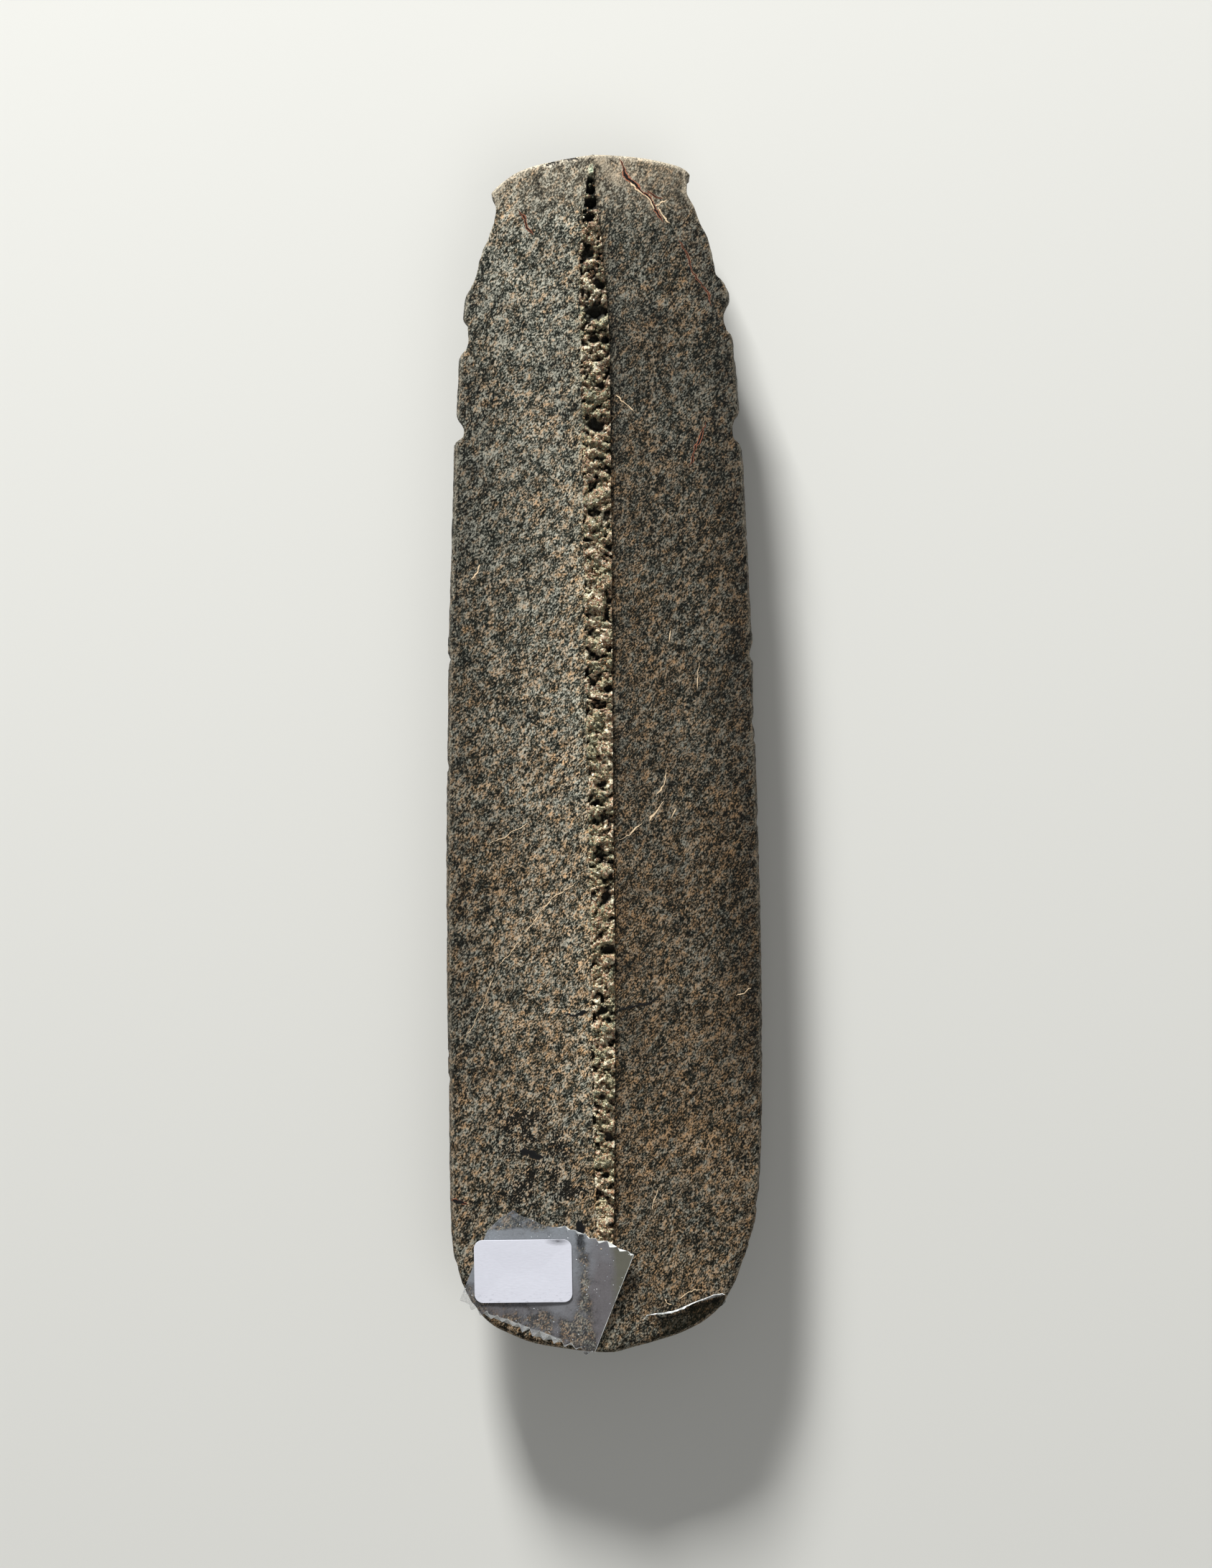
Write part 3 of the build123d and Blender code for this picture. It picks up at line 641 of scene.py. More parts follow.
def back_columns(rim, band, edge):
    """X of the back's points from rim to rim, and 1 for the columns in the septum's trench."""
    # Columns stand closest together at the rims and beside the septum
    outer = np.concatenate([[0, 0.003, 0.008, 0.016, 0.028, 0.044], np.linspace(0.07, 1, 21)])
    beside = np.array([0.36, 0.64, 0.86, 0.96])
    torn = np.array([0.0, 0.02, 0.5, 0.985, 1.0])
    stretches = ((rim[-1], band[-1], outer), (band[-1], edge[-1], beside), (edge[-1], edge[1], torn),
                 (band[1], edge[1], beside[::-1]), (rim[1], band[1], outer[::-1]))
    x = np.concatenate([columns(*stretch) for stretch in stretches], axis=1)
    is_torn = np.zeros(x.shape)
    first = len(outer) + len(beside)
    is_torn[:, first + 1:first + len(torn) - 1] = 1
    return x, is_torn


def front_points(stone, y, reach, width):
    """Rows of the carved front, from the right flank to the left."""
    near = np.minimum(9.0, 0.55 * np.minimum(reach[-1], reach[1]))
    outward = np.sin(np.linspace(0, 1, 13)[1:] * math.pi / 2)
    out_right, out_left = (columns(near, reach[side], outward) for side in (1, -1))
    x = np.concatenate([out_right[:, ::-1], near[:, None] * np.linspace(1, -1, 57), -out_left], axis=1)
    rows = np.broadcast_to(y[:, None], x.shape)
    half = np.where(x < 0, width[-1][:, None], width[1][:, None])
    belly = section(stone, y, 3)[:, None]
    level = np.sqrt(np.maximum(1 - (x / half) ** 2, 0))
    normal = np.stack([x / half**2, -level / belly], axis=2)
    normal /= np.linalg.norm(normal, axis=2, keepdims=True)
    cut = carved_depth(stone, x, rows) + 0.03 * soft_noise(x, rows, 3.0, 101)
    cut = cut * np.clip((level - 0.12) * 6, 0, 1)
    z = np.maximum(stone.thickness - stone.flank_drop - belly * level - normal[..., 1] * cut, 0)
    return np.stack([x - normal[..., 0] * cut, rows, z], axis=2)


def stone_mesh(stone):
    """Rings of the stone from the blade to the crest, with the shares that the material reads."""
    y = ring_places(stone)
    flank = stone.thickness - stone.flank_drop
    reach = {side: side * outline(y, side) for side in (-1, 1)}
    reach[-1] = np.maximum(reach[-1], 0.02 - np.interp(y, [-80, -79], [0.2, 0.0]))
    width = {side: np.maximum(section(stone, y, 1 if side < 0 else 2), reach[side] + 0.001) for side in (-1, 1)}

    def rim_reach(side, z):
        """How far out the flank stands at a height, trimmed by the outline."""
        up = np.clip((z - flank) / stone.belly_depth, -1, 1)
        return np.minimum(reach[side], width[side] * np.sqrt(1 - up**2))

    drop = {-1: stone.left_rim, 1: stone.right_rim}
    rim = {side: side * rim_reach(side, stone.thickness - drop[side] - 0.1) for side in (-1, 1)}
    edge, band = seam_lines(y, rim)
    x, is_torn = back_columns(rim, band, edge)
    rows = np.broadcast_to(y[:, None], x.shape)
    is_torn *= septum_fade(rows)

    # Chipped lip on the left of the trench
    face = sawn_face(stone, x, rows)
    to_septum = np.maximum(edge[-1][:, None] - x, x - edge[1][:, None])
    chipped = rise(to_septum, 0.55, -0.55) * (x < 0) * (soft_noise(x, rows, 0.9, 91) > 0.1)
    face = face - 0.22 * chipped * (1 - is_torn) + 0.10 * rise(to_septum, 0.8, -0.8) * (x < 0)
    height = face - stone.trench_depth * is_torn

    # Worn rim, rounder round the blade and at the crest
    loop = np.stack([np.concatenate([rim[-1], rim[1][::-1]]), np.concatenate([y, y[::-1]])], axis=1)
    away = rim_distance(np.stack([x.ravel(), rows.ravel()], axis=1), loop).reshape(x.shape)
    away[:, 0] = away[:, -1] = 0
    wear = stone.edge_wear * (1 + 0.5 * soft_noise(x, rows, 2.6, 95))
    wear = wear + (stone.blade_wear - stone.edge_wear) * rise(rows, -58, -12) + 0.15 * rise(rows, 73, 4)
    inside = np.clip(wear - away, 0, None)
    height = height - (wear - np.sqrt(np.maximum(wear**2 - inside**2, 0)))

    def flank_wall(side):
        """Rows of the flank between the back's rim and the front."""
        top_z = height[:, -1 if side > 0 else 0]
        level = np.sqrt(np.maximum(1 - (reach[side] / width[side]) ** 2, 0))
        low_z = flank - section(stone, y, 3) * level
        z = columns(top_z, low_z, np.linspace(0, 1, 9)[1:-1])
        out = np.stack([side * rim_reach(side, column) for column in z.T], axis=1)
        along = np.broadcast_to(y[:, None], z.shape)
        return np.stack([out - side * np.abs(0.03 * soft_noise(z, along, 0.9, 97)), along, z], axis=2)

    back = np.stack([x, rows, height], axis=2)
    front = front_points(stone, y, reach, width)
    ring = np.concatenate([back, flank_wall(1), front, flank_wall(-1)[:, ::-1]], axis=1)
    mesh = grid_mesh("pendant_stone", ring)

    def on_back(values, elsewhere=0.0):
        """Shares of the back's points, with one value for the flanks, the front and the two end caps."""
        full = np.full(ring.shape[:2], elsewhere)
        full[1:-1, :x.shape[1]] = values[1:-1]
        return full

    # Rubbed rims, paler, with a painted highlight along them that is strongest at the crest
    at_crest = rise(rows, 71, 4)
    whole = soft_noise(x, rows, 1.3, 103) > -0.35 - at_crest
    rim_light = whole * np.clip(1.3 - away / (0.26 + 0.34 * at_crest), 0, 1)
    # Brown saw trace right of the septum, with a painted shadow of its ridge; a paler band left of it
    store(mesh, "saw_trace_and_shadow", on_back(rise(to_septum, 1.0, -1.0) * (x > 0)))
    store(mesh, "pale_band", on_back(rise(to_septum, 2.2, -2.2) * (x < 0)))
    store(mesh, "stain", on_back(stain_share(x, rows)))
    store(mesh, "bruise", on_back(bruise_share(x, rows)))
    store(mesh, "rim", on_back(rim_light * (0.6 + 1.2 * at_crest)))
    # The tone share is partly the stone's own tone, partly painted sheen and painted light falloff
    store(mesh, "tone", on_back(tone_and_painted_light(x, rows), 0.8))
    return mesh


def grid_faces(count, around, closed=True, first=0):
    """Faces between rows of points, closed round each row and capped if asked."""
    start = first + np.arange(count - 1)[:, None] * around
    here = np.arange(around if closed else around - 1)[None, :]
    after = (here + 1) % around
    quads = np.stack([start + here, start + after, start + around + after, start + around + here], axis=2)
    faces = quads.reshape(-1, 4).tolist()
    if closed:
        cap = list(range(first, first + around))
        faces += [cap[::-1], [(count - 1) * around + i for i in cap]]
    return faces


def grid_mesh(name, ring, closed=True):
    """Mesh of rows of points in millimetres."""
    mesh = bpy.data.meshes.new(name)
    mesh.from_pydata((ring.reshape(-1, 3) * MM).tolist(), [], grid_faces(*ring.shape[:2], closed))
    mesh.update()
    return mesh


def store(mesh, name, values):
    """Keeps a share for each point of a mesh, for its material to read."""
    layer = mesh.attributes.new(name, "FLOAT", "POINT")
    layer.data.foreach_set("value", np.asarray(values, np.float32).ravel())


def add_object(name, mesh, material, smooth_below=None):
    """Links a mesh to the scene as an object with one material."""
    piece = bpy.data.objects.new(name, mesh)
    bpy.context.scene.collection.objects.link(piece)
    mesh.materials.clear()
    mesh.materials.append(material)
    if smooth_below is not None:
        smooth(mesh, smooth_below)
    return piece


def smooth(mesh, degrees):
    """Smooth shading, with edges sharper than an angle kept."""
    mesh.polygons.foreach_set("use_smooth", [True] * len(mesh.polygons))
    mesh.set_sharp_from_angle(angle=math.radians(degrees))


def drill_mesh():
    """Lathed drill for the cord hole: a straight core that flares at both mouths."""
    turns = np.linspace(0, 2 * math.pi, 40, endpoint=False)
    ring = [[(x, cord_hole[0] + r * math.cos(a), cord_hole[1] + r * math.sin(a)) for a in turns]
            for x, r in drill_profile]
    return grid_mesh("cord_hole_drill", np.array(ring))


class Shader:
    """A material's node tree, with a short call for each kind of node that the materials use."""

    def __init__(self, name):
        self.material = bpy.data.materials.new(name)
        self.material.use_nodes = True
        self.tree = self.material.node_tree
        self.tree.nodes.clear()
        place = self.add("TexCoord").outputs["Object"]
        self.place = self.add("Mapping", {"Vector": place, "Scale": (1 / MM,) * 3}).outputs[0]

    def add(self, kind, inputs=None, stops=None, **settings):
        """A shader node of a kind."""
        return add_node(self.tree, "ShaderNode" + kind, inputs, stops, **settings)

    def attribute(self, name):
        """A share that the mesh keeps."""
        return self.add("Attribute", attribute_name=name).outputs["Fac"]

    def axes(self):
        """X and Y in millimetres."""
        return self.add("SeparateXYZ", {0: self.place}).outputs[:2]

    def mapped(self, scale, degrees=0, shift=(0, 0, 0), **settings):
        """The place, moved, turned and stretched."""
        turn = (0, 0, math.radians(degrees))
        inputs = {"Vector": self.place, "Location": shift, "Rotation": turn, "Scale": scale}
        return self.add("Mapping", inputs, **settings).outputs[0]

    def noise(self, scale, detail, rough=0.5, place=None):
        """Cloudy noise."""
        place = self.place if place is None else place
        inputs = {"Vector": place, "Scale": scale, "Detail": detail, "Roughness": rough}
        return self.add("TexNoise", inputs).outputs[0]

    def remap(self, value, low, high, start, end):
        """A value carried from one range to another."""
        return self.add("MapRange", {0: value, 1: low, 2: high, 3: start, 4: end}).outputs[0]

    def plus(self, value, more):
        """A sum."""
        return self.add("Math", {0: value, 1: more}, operation="ADD").outputs[0]

    def times(self, value, factor):
        """A product."""
        return self.add("Math", {0: value, 1: factor}, operation="MULTIPLY").outputs[0]

    def weigh(self, value, factor, more):
        """A product, and more added to it."""
        return self.add("Math", {0: value, 1: factor, 2: more}, operation="MULTIPLY_ADD").outputs[0]

    def scaled(self, colour, share):
        """A colour made lighter or darker."""
        return self.add("VectorMath", {0: colour, 3: share}, operation="SCALE").outputs[0]

    def blend(self, share, low, high, kind="MIX"):
        """From one colour to another by a share."""
        low, high = (linear(c) if isinstance(c, str) else c for c in (low, high))
        return self.add("Mix", {0: share, 6: low, 7: high}, data_type="RGBA", blend_type=kind).outputs[2]

    def ramp(self, share, stops):
        """A colour from a row of stops."""
        stops = [(at, linear(c) if isinstance(c, str) else c) for at, c in stops]
        return self.add("ValToRGB", {"Fac": share}, stops).outputs[0]

    def bump(self, height, strength, depth):
        """A rough normal, with its depth in millimetres."""
        return self.add("Bump", {"Strength": strength, "Distance": depth * MM, "Height": height}).outputs[0]

    def finish(self, colour, roughness, **more):
        """Closes the material with its surface, and returns it."""
        surface = self.add("BsdfPrincipled", {"Base Color": colour, "Roughness": roughness, **more})
        self.tree.links.new(surface.outputs[0], self.add("OutputMaterial").inputs[0])
        return self.material


def add_node(tree, kind, inputs=None, stops=None, **settings):
    """Adds a node, sets its settings and its inputs, and links the inputs that are sockets."""
    node = tree.nodes.new(kind)
    for name, value in settings.items():
        setattr(node, name, value)
    for key, value in (inputs or {}).items():
        if isinstance(value, bpy.types.NodeSocket):
            tree.links.new(value, node.inputs[key])
        else:
            node.inputs[key].default_value = value
    if stops:
        ramp = node.color_ramp
        while len(ramp.elements) > 1:
            ramp.elements.remove(ramp.elements[-1])
        for index, (place, colour) in enumerate(stops):
            element = ramp.elements[0] if index == 0 else ramp.elements.new(place)
            element.position = place
            element.color = colour
    return node


def add_grain_colour(shader, stone, contrast):
    """Salt-and-pepper grains that give the stone its look, warm and cool in turn; returns colour and grain."""
    drawn = shader.mapped((0.93, 1.6, 1), -34, vector_type="TEXTURE")

    # Clots from 3 mm down to single grains, fine flecks, and a crisp value for each crystal
    grains = {"Vector": drawn, "Scale": 0.36 / stone.speckle, "Detail": 2.7, "Roughness": 1.0}
    clots = shader.add("TexNoise", grains)
    flecks = shader.noise(2.4 / stone.speckle, 0.0, place=drawn)
    stirred = shader.add("Mix", {0: 0.10, 4: drawn, 5: clots.outputs["Color"]}, data_type="VECTOR").outputs[1]
    crystals = shader.add("TexVoronoi", {"Vector": stirred, "Scale": 1.7 / stone.speckle})
    chance = shader.add("SeparateColor", {0: crystals.outputs["Color"]}).outputs[0]
    spread = 0.5
    for part, share in ((clots.outputs[0], 1.7), (flecks, 1.25), (chance, 0.17)):
        spread = shader.weigh(shader.plus(part, -0.5), share * contrast, spread)
    dark, middle, pale = (linear(c)[:3] for c in (stone.dark_colour, stone.middle_colour, stone.pale_colour))
    stops = [(0.08, between(dark, middle, -0.9)), (0.22, between(dark, middle, -0.5)), (0.30, dark),
             (0.42, between(dark, middle, 0.62)), (0.50, middle), (0.58, between(middle, pale, 0.46)),
             (0.70, pale), (0.90, between(middle, pale, 1.4))]
    ground = shader.ramp(spread, [(at, (*colour, 1.0)) for at, colour in stops])

    # Rust gathers in soft blots, and there is more of it towards the blade and on the right face
    across, along = shader.axes()
    rust = shader.weigh(shader.noise(0.11, 2.0), 0.25, shader.noise(1.4, 3.0, 0.8, drawn))
    rust = shader.plus(rust, shader.remap(along, 75.0, -20.0, -0.05, 0.04))
    rust = shader.plus(rust, shader.remap(across, -2.0, 4.0, 0.0, 0.042))
    rust = shader.remap(rust, 0.56, 0.82, 0.0, 1.0)
    tint = shader.blend(rust, (0.99, 1.015, 0.935, 1), (1.48, 0.97, 0.57, 1))
    return shader.blend(1.0, ground, tint, "MULTIPLY"), spread


def stone_material(stone):
    """Sawn and rubbed greenstone: salt-and-pepper grains with rusty blots and a low, uneven gloss."""
    shader = Shader("speckled_greenstone")
    ground, grain = add_grain_colour(shader, stone, 1.0)

    # Weak slanting bands of the rock and broad clouds
    bands = shader.noise(0.32, 3.0, 0.65, shader.mapped((0.25, 1, 1), 38))
    tone = shader.remap(shader.plus(bands, shader.noise(0.3, 2.0)), 0.7, 1.3, 0.76, 1.24)
    # The tone share paints sheen and light falloff over the stone's own tone
    colour = shader.scaled(ground, shader.times(tone, shader.attribute("tone")))

    # Smooth brown trace of the saw on the right of the septum, darkened further as a painted shadow of the
    # septum's ridge, and a paler band on its left
    tints = (("saw_trace_and_shadow", 0.75, (0.62, 0.52, 0.40, 1)), ("pale_band", 0.5, (1.12, 1.08, 0.98, 1)))
    for name, most, tint in tints:
        colour = shader.blend(shader.times(shader.attribute(name), most), colour, tint, "MULTIPLY")

    # Bruised stone, and rubbed rims with a painted highlight along them: paler, with a finer and calmer grain
    flour = shader.remap(grain, 0.2, 0.8, 0.55, 1.45)
    for name, most, paint in (("bruise", 0.66, "#9b8f7b"), ("rim", 0.36, "#a99f8c")):
        pale = shader.scaled(linear(paint)[:3], flour)
        colour = shader.blend(shader.times(shader.attribute(name), most), colour, pale)

    # Sooty patch near the tape, and dark spots at the crest's chips
    stained = shader.remap(shader.weigh(grain, -0.8, shader.attribute("stain")), -0.16, 0.12, 0.0, 0.94)
    colour = shader.blend(stained, colour, "#0f0e0b")
    gloss = shader.remap(grain, 0.3, 0.7, 0.70, 0.50)
    rubbed = shader.bump(shader.noise(2.6, 3.0, 0.7), 0.6, 0.06)
    return shader.finish(colour, gloss, Normal=rubbed, IOR=1.2)


def septum_material(stone):
    """Snapped greenstone: fresh broken crystals, cream, rusty or grey-green from chunk to chunk, with
    painted shade in the pits and on the septum's upper stretch, all of it rough and sparkling."""
    shader = Shader("snapped_greenstone")
    ground, grain = add_grain_colour(shader, stone, 1.2)
    mixed = shader.weigh(shader.attribute("lump"), 0.35, shader.noise(1.1, 3.0, 0.75))
    fresh = shader.ramp(mixed, [(0.38, "#2b3027"), (0.50, "#6f715c"), (0.60, "#bdb894"),
                                (0.66, "#7d6b4e"), (0.71, "#90573a"), (0.82, "#f4edce")])
    fresh = shader.blend(0.42, fresh, ground)
    fresh = shader.scaled(fresh, shader.remap(shader.axes()[1], 60.0, 0.0, 1.0, 1.3))
    # Painted shade, darkest in the deepest pits
    painted_shade = shader.remap(shader.attribute("depth"), 0.16, 0.60, 0.0, 0.97)
    colour = shader.blend(painted_shade, fresh, "#0d0d08")
    colour = shader.blend(shader.attribute("tip"), colour, "#a9b49b")
    grit = shader.bump(shader.noise(3.4, 4.0, 0.75), 1.0, 0.18)
    return shader.finish(colour, shader.remap(grain, 0.4, 0.65, 0.75, 0.38), Normal=grit, IOR=1.38)


def grain_material():
    """Loose broken crystals of the same stone: each its own cream, rust, green-grey or near black,
    with a glassy glint on some faces."""
    shader = Shader("broken_crystals")
    shade = shader.weigh(shader.attribute("crystal"), 0.35, shader.noise(0.9, 2.0, 0.7))
    colour = shader.ramp(shade, [
        (0.38, "#1d2018"), (0.52, "#4c5040"), (0.62, "#868468"), (0.72, "#d6cda6"),
        (0.80, "#8a5f42"), (0.88, "#b59468"), (0.95, "#fbf6df")])
    return shader.finish(colour, 0.42, Normal=shader.bump(shader.noise(3.0, 2.0), 0.5, 0.04), IOR=1.45)


def mark_material(name, core, border, roughness, ragged):
    """A line in or on the stone: one colour along its middle, another at its ragged, broken borders."""
    shader = Shader(name)
    frayed = shader.weigh(shader.noise(4.2, 2.0, 0.7), ragged, shader.attribute("away"))
    frayed = shader.weigh(shader.noise(1.3, 1.0), ragged, frayed)
    shown = shader.remap(frayed, ragged + 0.58, ragged + 0.90, 0.97, 0.0)
    side = shader.remap(frayed, ragged + 0.36, ragged + 0.60, 0.0, 1.0)
    return shader.finish(shader.blend(side, core, border), roughness, IOR=1.3, Alpha=shown)


def speck_material(name, dull, bright):
    """Small bright things under or along a film, uneven from dull to bright."""
    shader = Shader(name)
    return shader.finish(shader.ramp(shader.noise(1.6, 2.0), [(0.38, dull), (0.62, bright)]), 0.3)


def tape_material(name, haze, lifted, most, least, ior):
    """Clear polypropylene film: a blue-grey haze over the stone, nearly clear where it is wetted by its glue,
    smooth and olive-grey where it stands free, and a painted highlight in white along its cut edges."""
    shader = Shader(name)
    bond, free, cut = (shader.attribute(share) for share in ("bond", "free", "cut"))
    blotch = shader.noise(0.8, 5.0, 0.75)
    cover = shader.remap(shader.weigh(blotch, 1.5, bond), 0.95, 1.45, most, least)
    cover = shader.plus(shader.weigh(shader.noise(4.5, 2.0, 0.7), 0.50, cover), -0.25)
    cover = shader.add("Mix", {0: free, 2: cover, 3: 0.93}).outputs[0]
    cover = shader.weigh(cut, 0.25, cover)

    # Bluer and lighter above the label, purple-grey and darker round its foot
    across, along = shader.axes()
    low = shader.weigh(shader.noise(0.22, 3.0), 0.9, shader.remap(along, -64.5, -74.0, -0.25, 0.35))
    low = shader.plus(low, shader.remap(across, -3.2, -1.2, 0.0, 0.55))
    tint = shader.blend(low, (0.94, 1.03, 1.10, 1), (0.50, 0.47, 0.48, 1))
    colour = shader.blend(1.0, linear(haze), tint, "MULTIPLY")
    colour = shader.blend(free, colour, lifted)
    # Painted highlight: white along the cut edges
    white = shader.remap(shader.times(cut, blotch), 0.24, 0.46, 0.0, 0.85)
    colour = shader.blend(white, colour, "#e3e6e3")
    return shader.finish(colour, 0.30, IOR=ior, Alpha=cover, Normal=shader.bump(blotch, 0.4, 0.10))


def paper_material(tape):
    """Uncoated white paper: matte, cool white, with faint fibres and a few grey rubbed flecks."""
    shader = Shader("uncoated_label_paper")
    fibres = shader.mapped((0.5, 2.2, 1))
    fibre = shader.noise(3.0, 3.0, place=fibres)
    colour = shader.scaled(linear(tape.paper_colour)[:3], shader.remap(fibre, 0.3, 0.7, 0.96, 1.02))
    low = shader.remap(shader.axes()[1], -70.6, -73.0, 0.0, 1.0)
    flecks = shader.noise(2.4, 3.0, 0.7, fibres)
    fleck = shader.times(shader.remap(flecks, 0.58, 0.66, 0.0, 0.55), low)
    colour = shader.blend(fleck, colour, "#8d8f96")

    # Grey smudge near the upper right corner, longer than it is high
    near = shader.mapped((1, 2.6, 0), shift=(6.6, 64.95 * 2.6, 0))
    away = shader.add("VectorMath", {0: near}, operation="LENGTH").outputs["Value"]
    smudge = shader.times(shader.remap(away, 1.9, 0.2, 0.0, 1.5), flecks)
    colour = shader.blend(smudge, colour, "#4e4f55")
    return shader.finish(colour, 0.8, Normal=shader.bump(fibre, 0.35, 0.02))


def scatter_tree(name, flatness):
    """Geometry Nodes that scatter small broken grains over a surface."""
    tree = bpy.data.node_groups.new(name, "GeometryNodeTree")
    sockets = {"Geometry": "Geometry", "Density": "Float", "Smallest": "Float", "Largest": "Float",
               "Seed": "Int", "Material": "Material"}
    for label, kind in sockets.items():
        tree.interface.new_socket(label, in_out="INPUT", socket_type="NodeSocket" + kind)
    tree.interface.new_socket("Geometry", in_out="OUTPUT", socket_type="NodeSocketGeometry")

    def add(kind, inputs, **settings):
        """First output of a new node."""
        return add_node(tree, kind, inputs, **settings).outputs[0]

    def chance(low, high, seed):
        """A random vector for each grain."""
        return add("FunctionNodeRandomValue", {0: low, 1: high, "Seed": seed}, data_type="FLOAT_VECTOR")

    given = add_node(tree, "NodeGroupInput").outputs
    spread = add("GeometryNodeDistributePointsOnFaces", {
        "Mesh": given["Geometry"], "Density": given["Density"], "Seed": given["Seed"]})
    ball = add("GeometryNodeMeshIcoSphere", {"Radius": 0.5, "Subdivisions": 1})
    rough = add("GeometryNodeSetPosition", {"Geometry": ball, "Offset": chance((-0.16,) * 3, (0.16,) * 3, 5)})
    loose = 1 - flatness
    turn = chance((0, 0, 0), (math.tau * loose, math.tau * loose, math.tau), 11)
    size = add_node(tree, "FunctionNodeRandomValue", {2: given["Smallest"], 3: given["Largest"], "Seed": 17},
                    data_type="FLOAT").outputs[1]
    stretch = chance((0.7, 0.7, 0.5 * loose + 0.1), (1.3, 1.3, 0.9 * loose + 0.15), 23)
    scale = add("ShaderNodeVectorMath", {0: stretch, 3: size}, operation="SCALE")
    grains = add("GeometryNodeInstanceOnPoints", {
        "Points": spread, "Instance": rough, "Rotation": turn, "Scale": scale})
    shade = add_node(tree, "FunctionNodeRandomValue", {"Seed": 29}, data_type="FLOAT").outputs[1]
    grains = add("GeometryNodeStoreNamedAttribute", {0: grains, "Name": "crystal", "Value": shade},
                 data_type="FLOAT", domain="INSTANCE")
    real = add("GeometryNodeRealizeInstances", {0: grains})
    dressed = add("GeometryNodeSetMaterial", {"Geometry": real, "Material": given["Material"]})
    add_node(tree, "NodeGroupOutput", {"Geometry": dressed})
    return tree


def scatter(name, carrier_mesh, tree, values, material):
    """Runs a scatter tree over a carrier and returns the result as a plain piece."""
    carrier = bpy.data.objects.new(name + "_carrier", carrier_mesh)
    bpy.context.scene.collection.objects.link(carrier)
    modifier = carrier.modifiers.new("scatter", "NODES")
    modifier.node_group = tree
    for item in tree.interface.items_tree:
        if item.in_out == "INPUT" and item.name in values:
            modifier[item.identifier] = values[item.name]
    graph = bpy.context.evaluated_depsgraph_get()
    mesh = bpy.data.meshes.new_from_object(carrier.evaluated_get(graph))
    carrier.modifiers.remove(modifier)
    bpy.data.objects.remove(carrier)
    if not len(mesh.polygons):
        raise RuntimeError(name + ": the scatter made no faces")
    mesh.name = name
    return add_object(name, mesh, material)


def mark_mesh(stone, name, marks, lift, seed):
    """Thin ridged strips that follow the sawn faces along listed lines."""
    points, faces, aways = [], [], []
    for number, (wide, high, path) in enumerate(marks):
        path = np.array(path, float)
        legs = np.hypot(*np.diff(path, axis=0).T)
        total = legs.sum()
        along = np.concatenate([[0], np.cumsum(legs)])
        steps = np.linspace(0, total, max(6, int(total / 0.11)))
        x, y = (np.interp(steps, along, path[:, axis]) for axis in (0, 1))
        kinks = lattice(np.floor(steps / 0.42).astype(np.int64), 0, seed + number) - 0.5
        sideways = 0.16 * kinks + 0.20 * line_noise(steps, 1.4, seed + 50 + number)
        run = np.stack([np.gradient(x), np.gradient(y)], axis=1)
        run /= np.linalg.norm(run, axis=1, keepdims=True)
        across = np.stack([run[:, 1], -run[:, 0]], axis=1)
        taper = np.clip(np.minimum(steps, total - steps) / (0.16 * total), 0.08, 1)
        half = 0.5 * wide * taper * (1 + 0.55 * line_noise(steps, 0.6, seed + 90 + number))
        middle = np.stack([x, y], axis=1) + across * sideways[:, None]
        rows = []
        for reach, up in ((-1, -0.03), (-1, 0.0), (0, high * taper), (1, 0.0), (1, -0.03)):
            spot = middle + across * (reach * half)[:, None]
            rows.append(np.column_stack([spot, sawn_face(stone, *spot.T) + lift + up]))
        aways += [1.0, 1.0, 0.0, 1.0, 1.0] * len(steps)
        faces += grid_faces(len(steps), len(rows), first=len(points))
        points += (np.stack(rows, axis=1).reshape(-1, 3) * MM).tolist()
    mesh = bpy.data.meshes.new(name)
    mesh.from_pydata(points, [], faces)
    mesh.update()
    store(mesh, "away", aways)
    return mesh


def saw_tooth(u, tape, seed):
    """How far a serrated cut reaches out at a place across the tape."""
    number = np.floor(u / tape.tooth_pitch).astype(np.int64)
    share = u / tape.tooth_pitch - number
    size = 0.7 + 0.6 * lattice(number, number * 0, seed)
    return tape.tooth_height * size * np.where(share < 0.62, share / 0.62, (1 - share) / 0.38)


def tape_height(stone, tape, x, y):
    """Height of the tape's underside: down on the left face, over the septum, free on the right."""
    down = sawn_face(stone, np.minimum(x, -0.01), y) + tape.film_gap
    over = stone.thickness + 0.04 + 0.05 * soft_noise(x, y, 2.2, 121) + 0.06 * np.clip(x - 1.2, 0, 3)
    climb = rise(x, -2.9, 1.9)
    climb = climb * climb * (3 - 2 * climb)
    wrinkle = 0.03 * soft_noise(x, y, 1.3, 122) * (0.4 + climb)
    sag = 0.35 * np.clip(through(y, left_outline[:9]) + 0.3 - x, 0, 2)
    return down * (1 - climb) + over * climb + np.abs(wrinkle) - sag


def tape_bond(x, y):
    """Where the tape grips the stone and turns clear: a brown streak, the foot, the head and the ink mark."""
    streak = np.exp(-(((x + 3.1) / (0.80 + 0.16 * np.clip(-72.0 - y, 0, 6))) ** 2)) * rise(y, -66.2, -0.8)
    streak = streak * (0.95 + 0.6 * soft_noise(x, y, 1.1, 132))
    foot = np.clip((-73.7 - y - 0.36 * (x + 8.4)) / 1.1, 0, 1) * (0.85 + 0.5 * soft_noise(x, y, 1.4, 131))
    foot = foot * rise(x, -1.6, -0.8)
    head = blob(x, y, (-9.0, -63.1), (2.4, 0.8))
    mark = blob(x, y, (-3.6, -65.2), (0.7, 1.6))
    left = blob(x, y, (-17.6, -73.6), (1.6, 1.0))
    return np.clip(0.12 + 0.75 * streak + 0.65 * foot + 0.5 * head + 0.8 * mark + 0.4 * left, 0, 1)


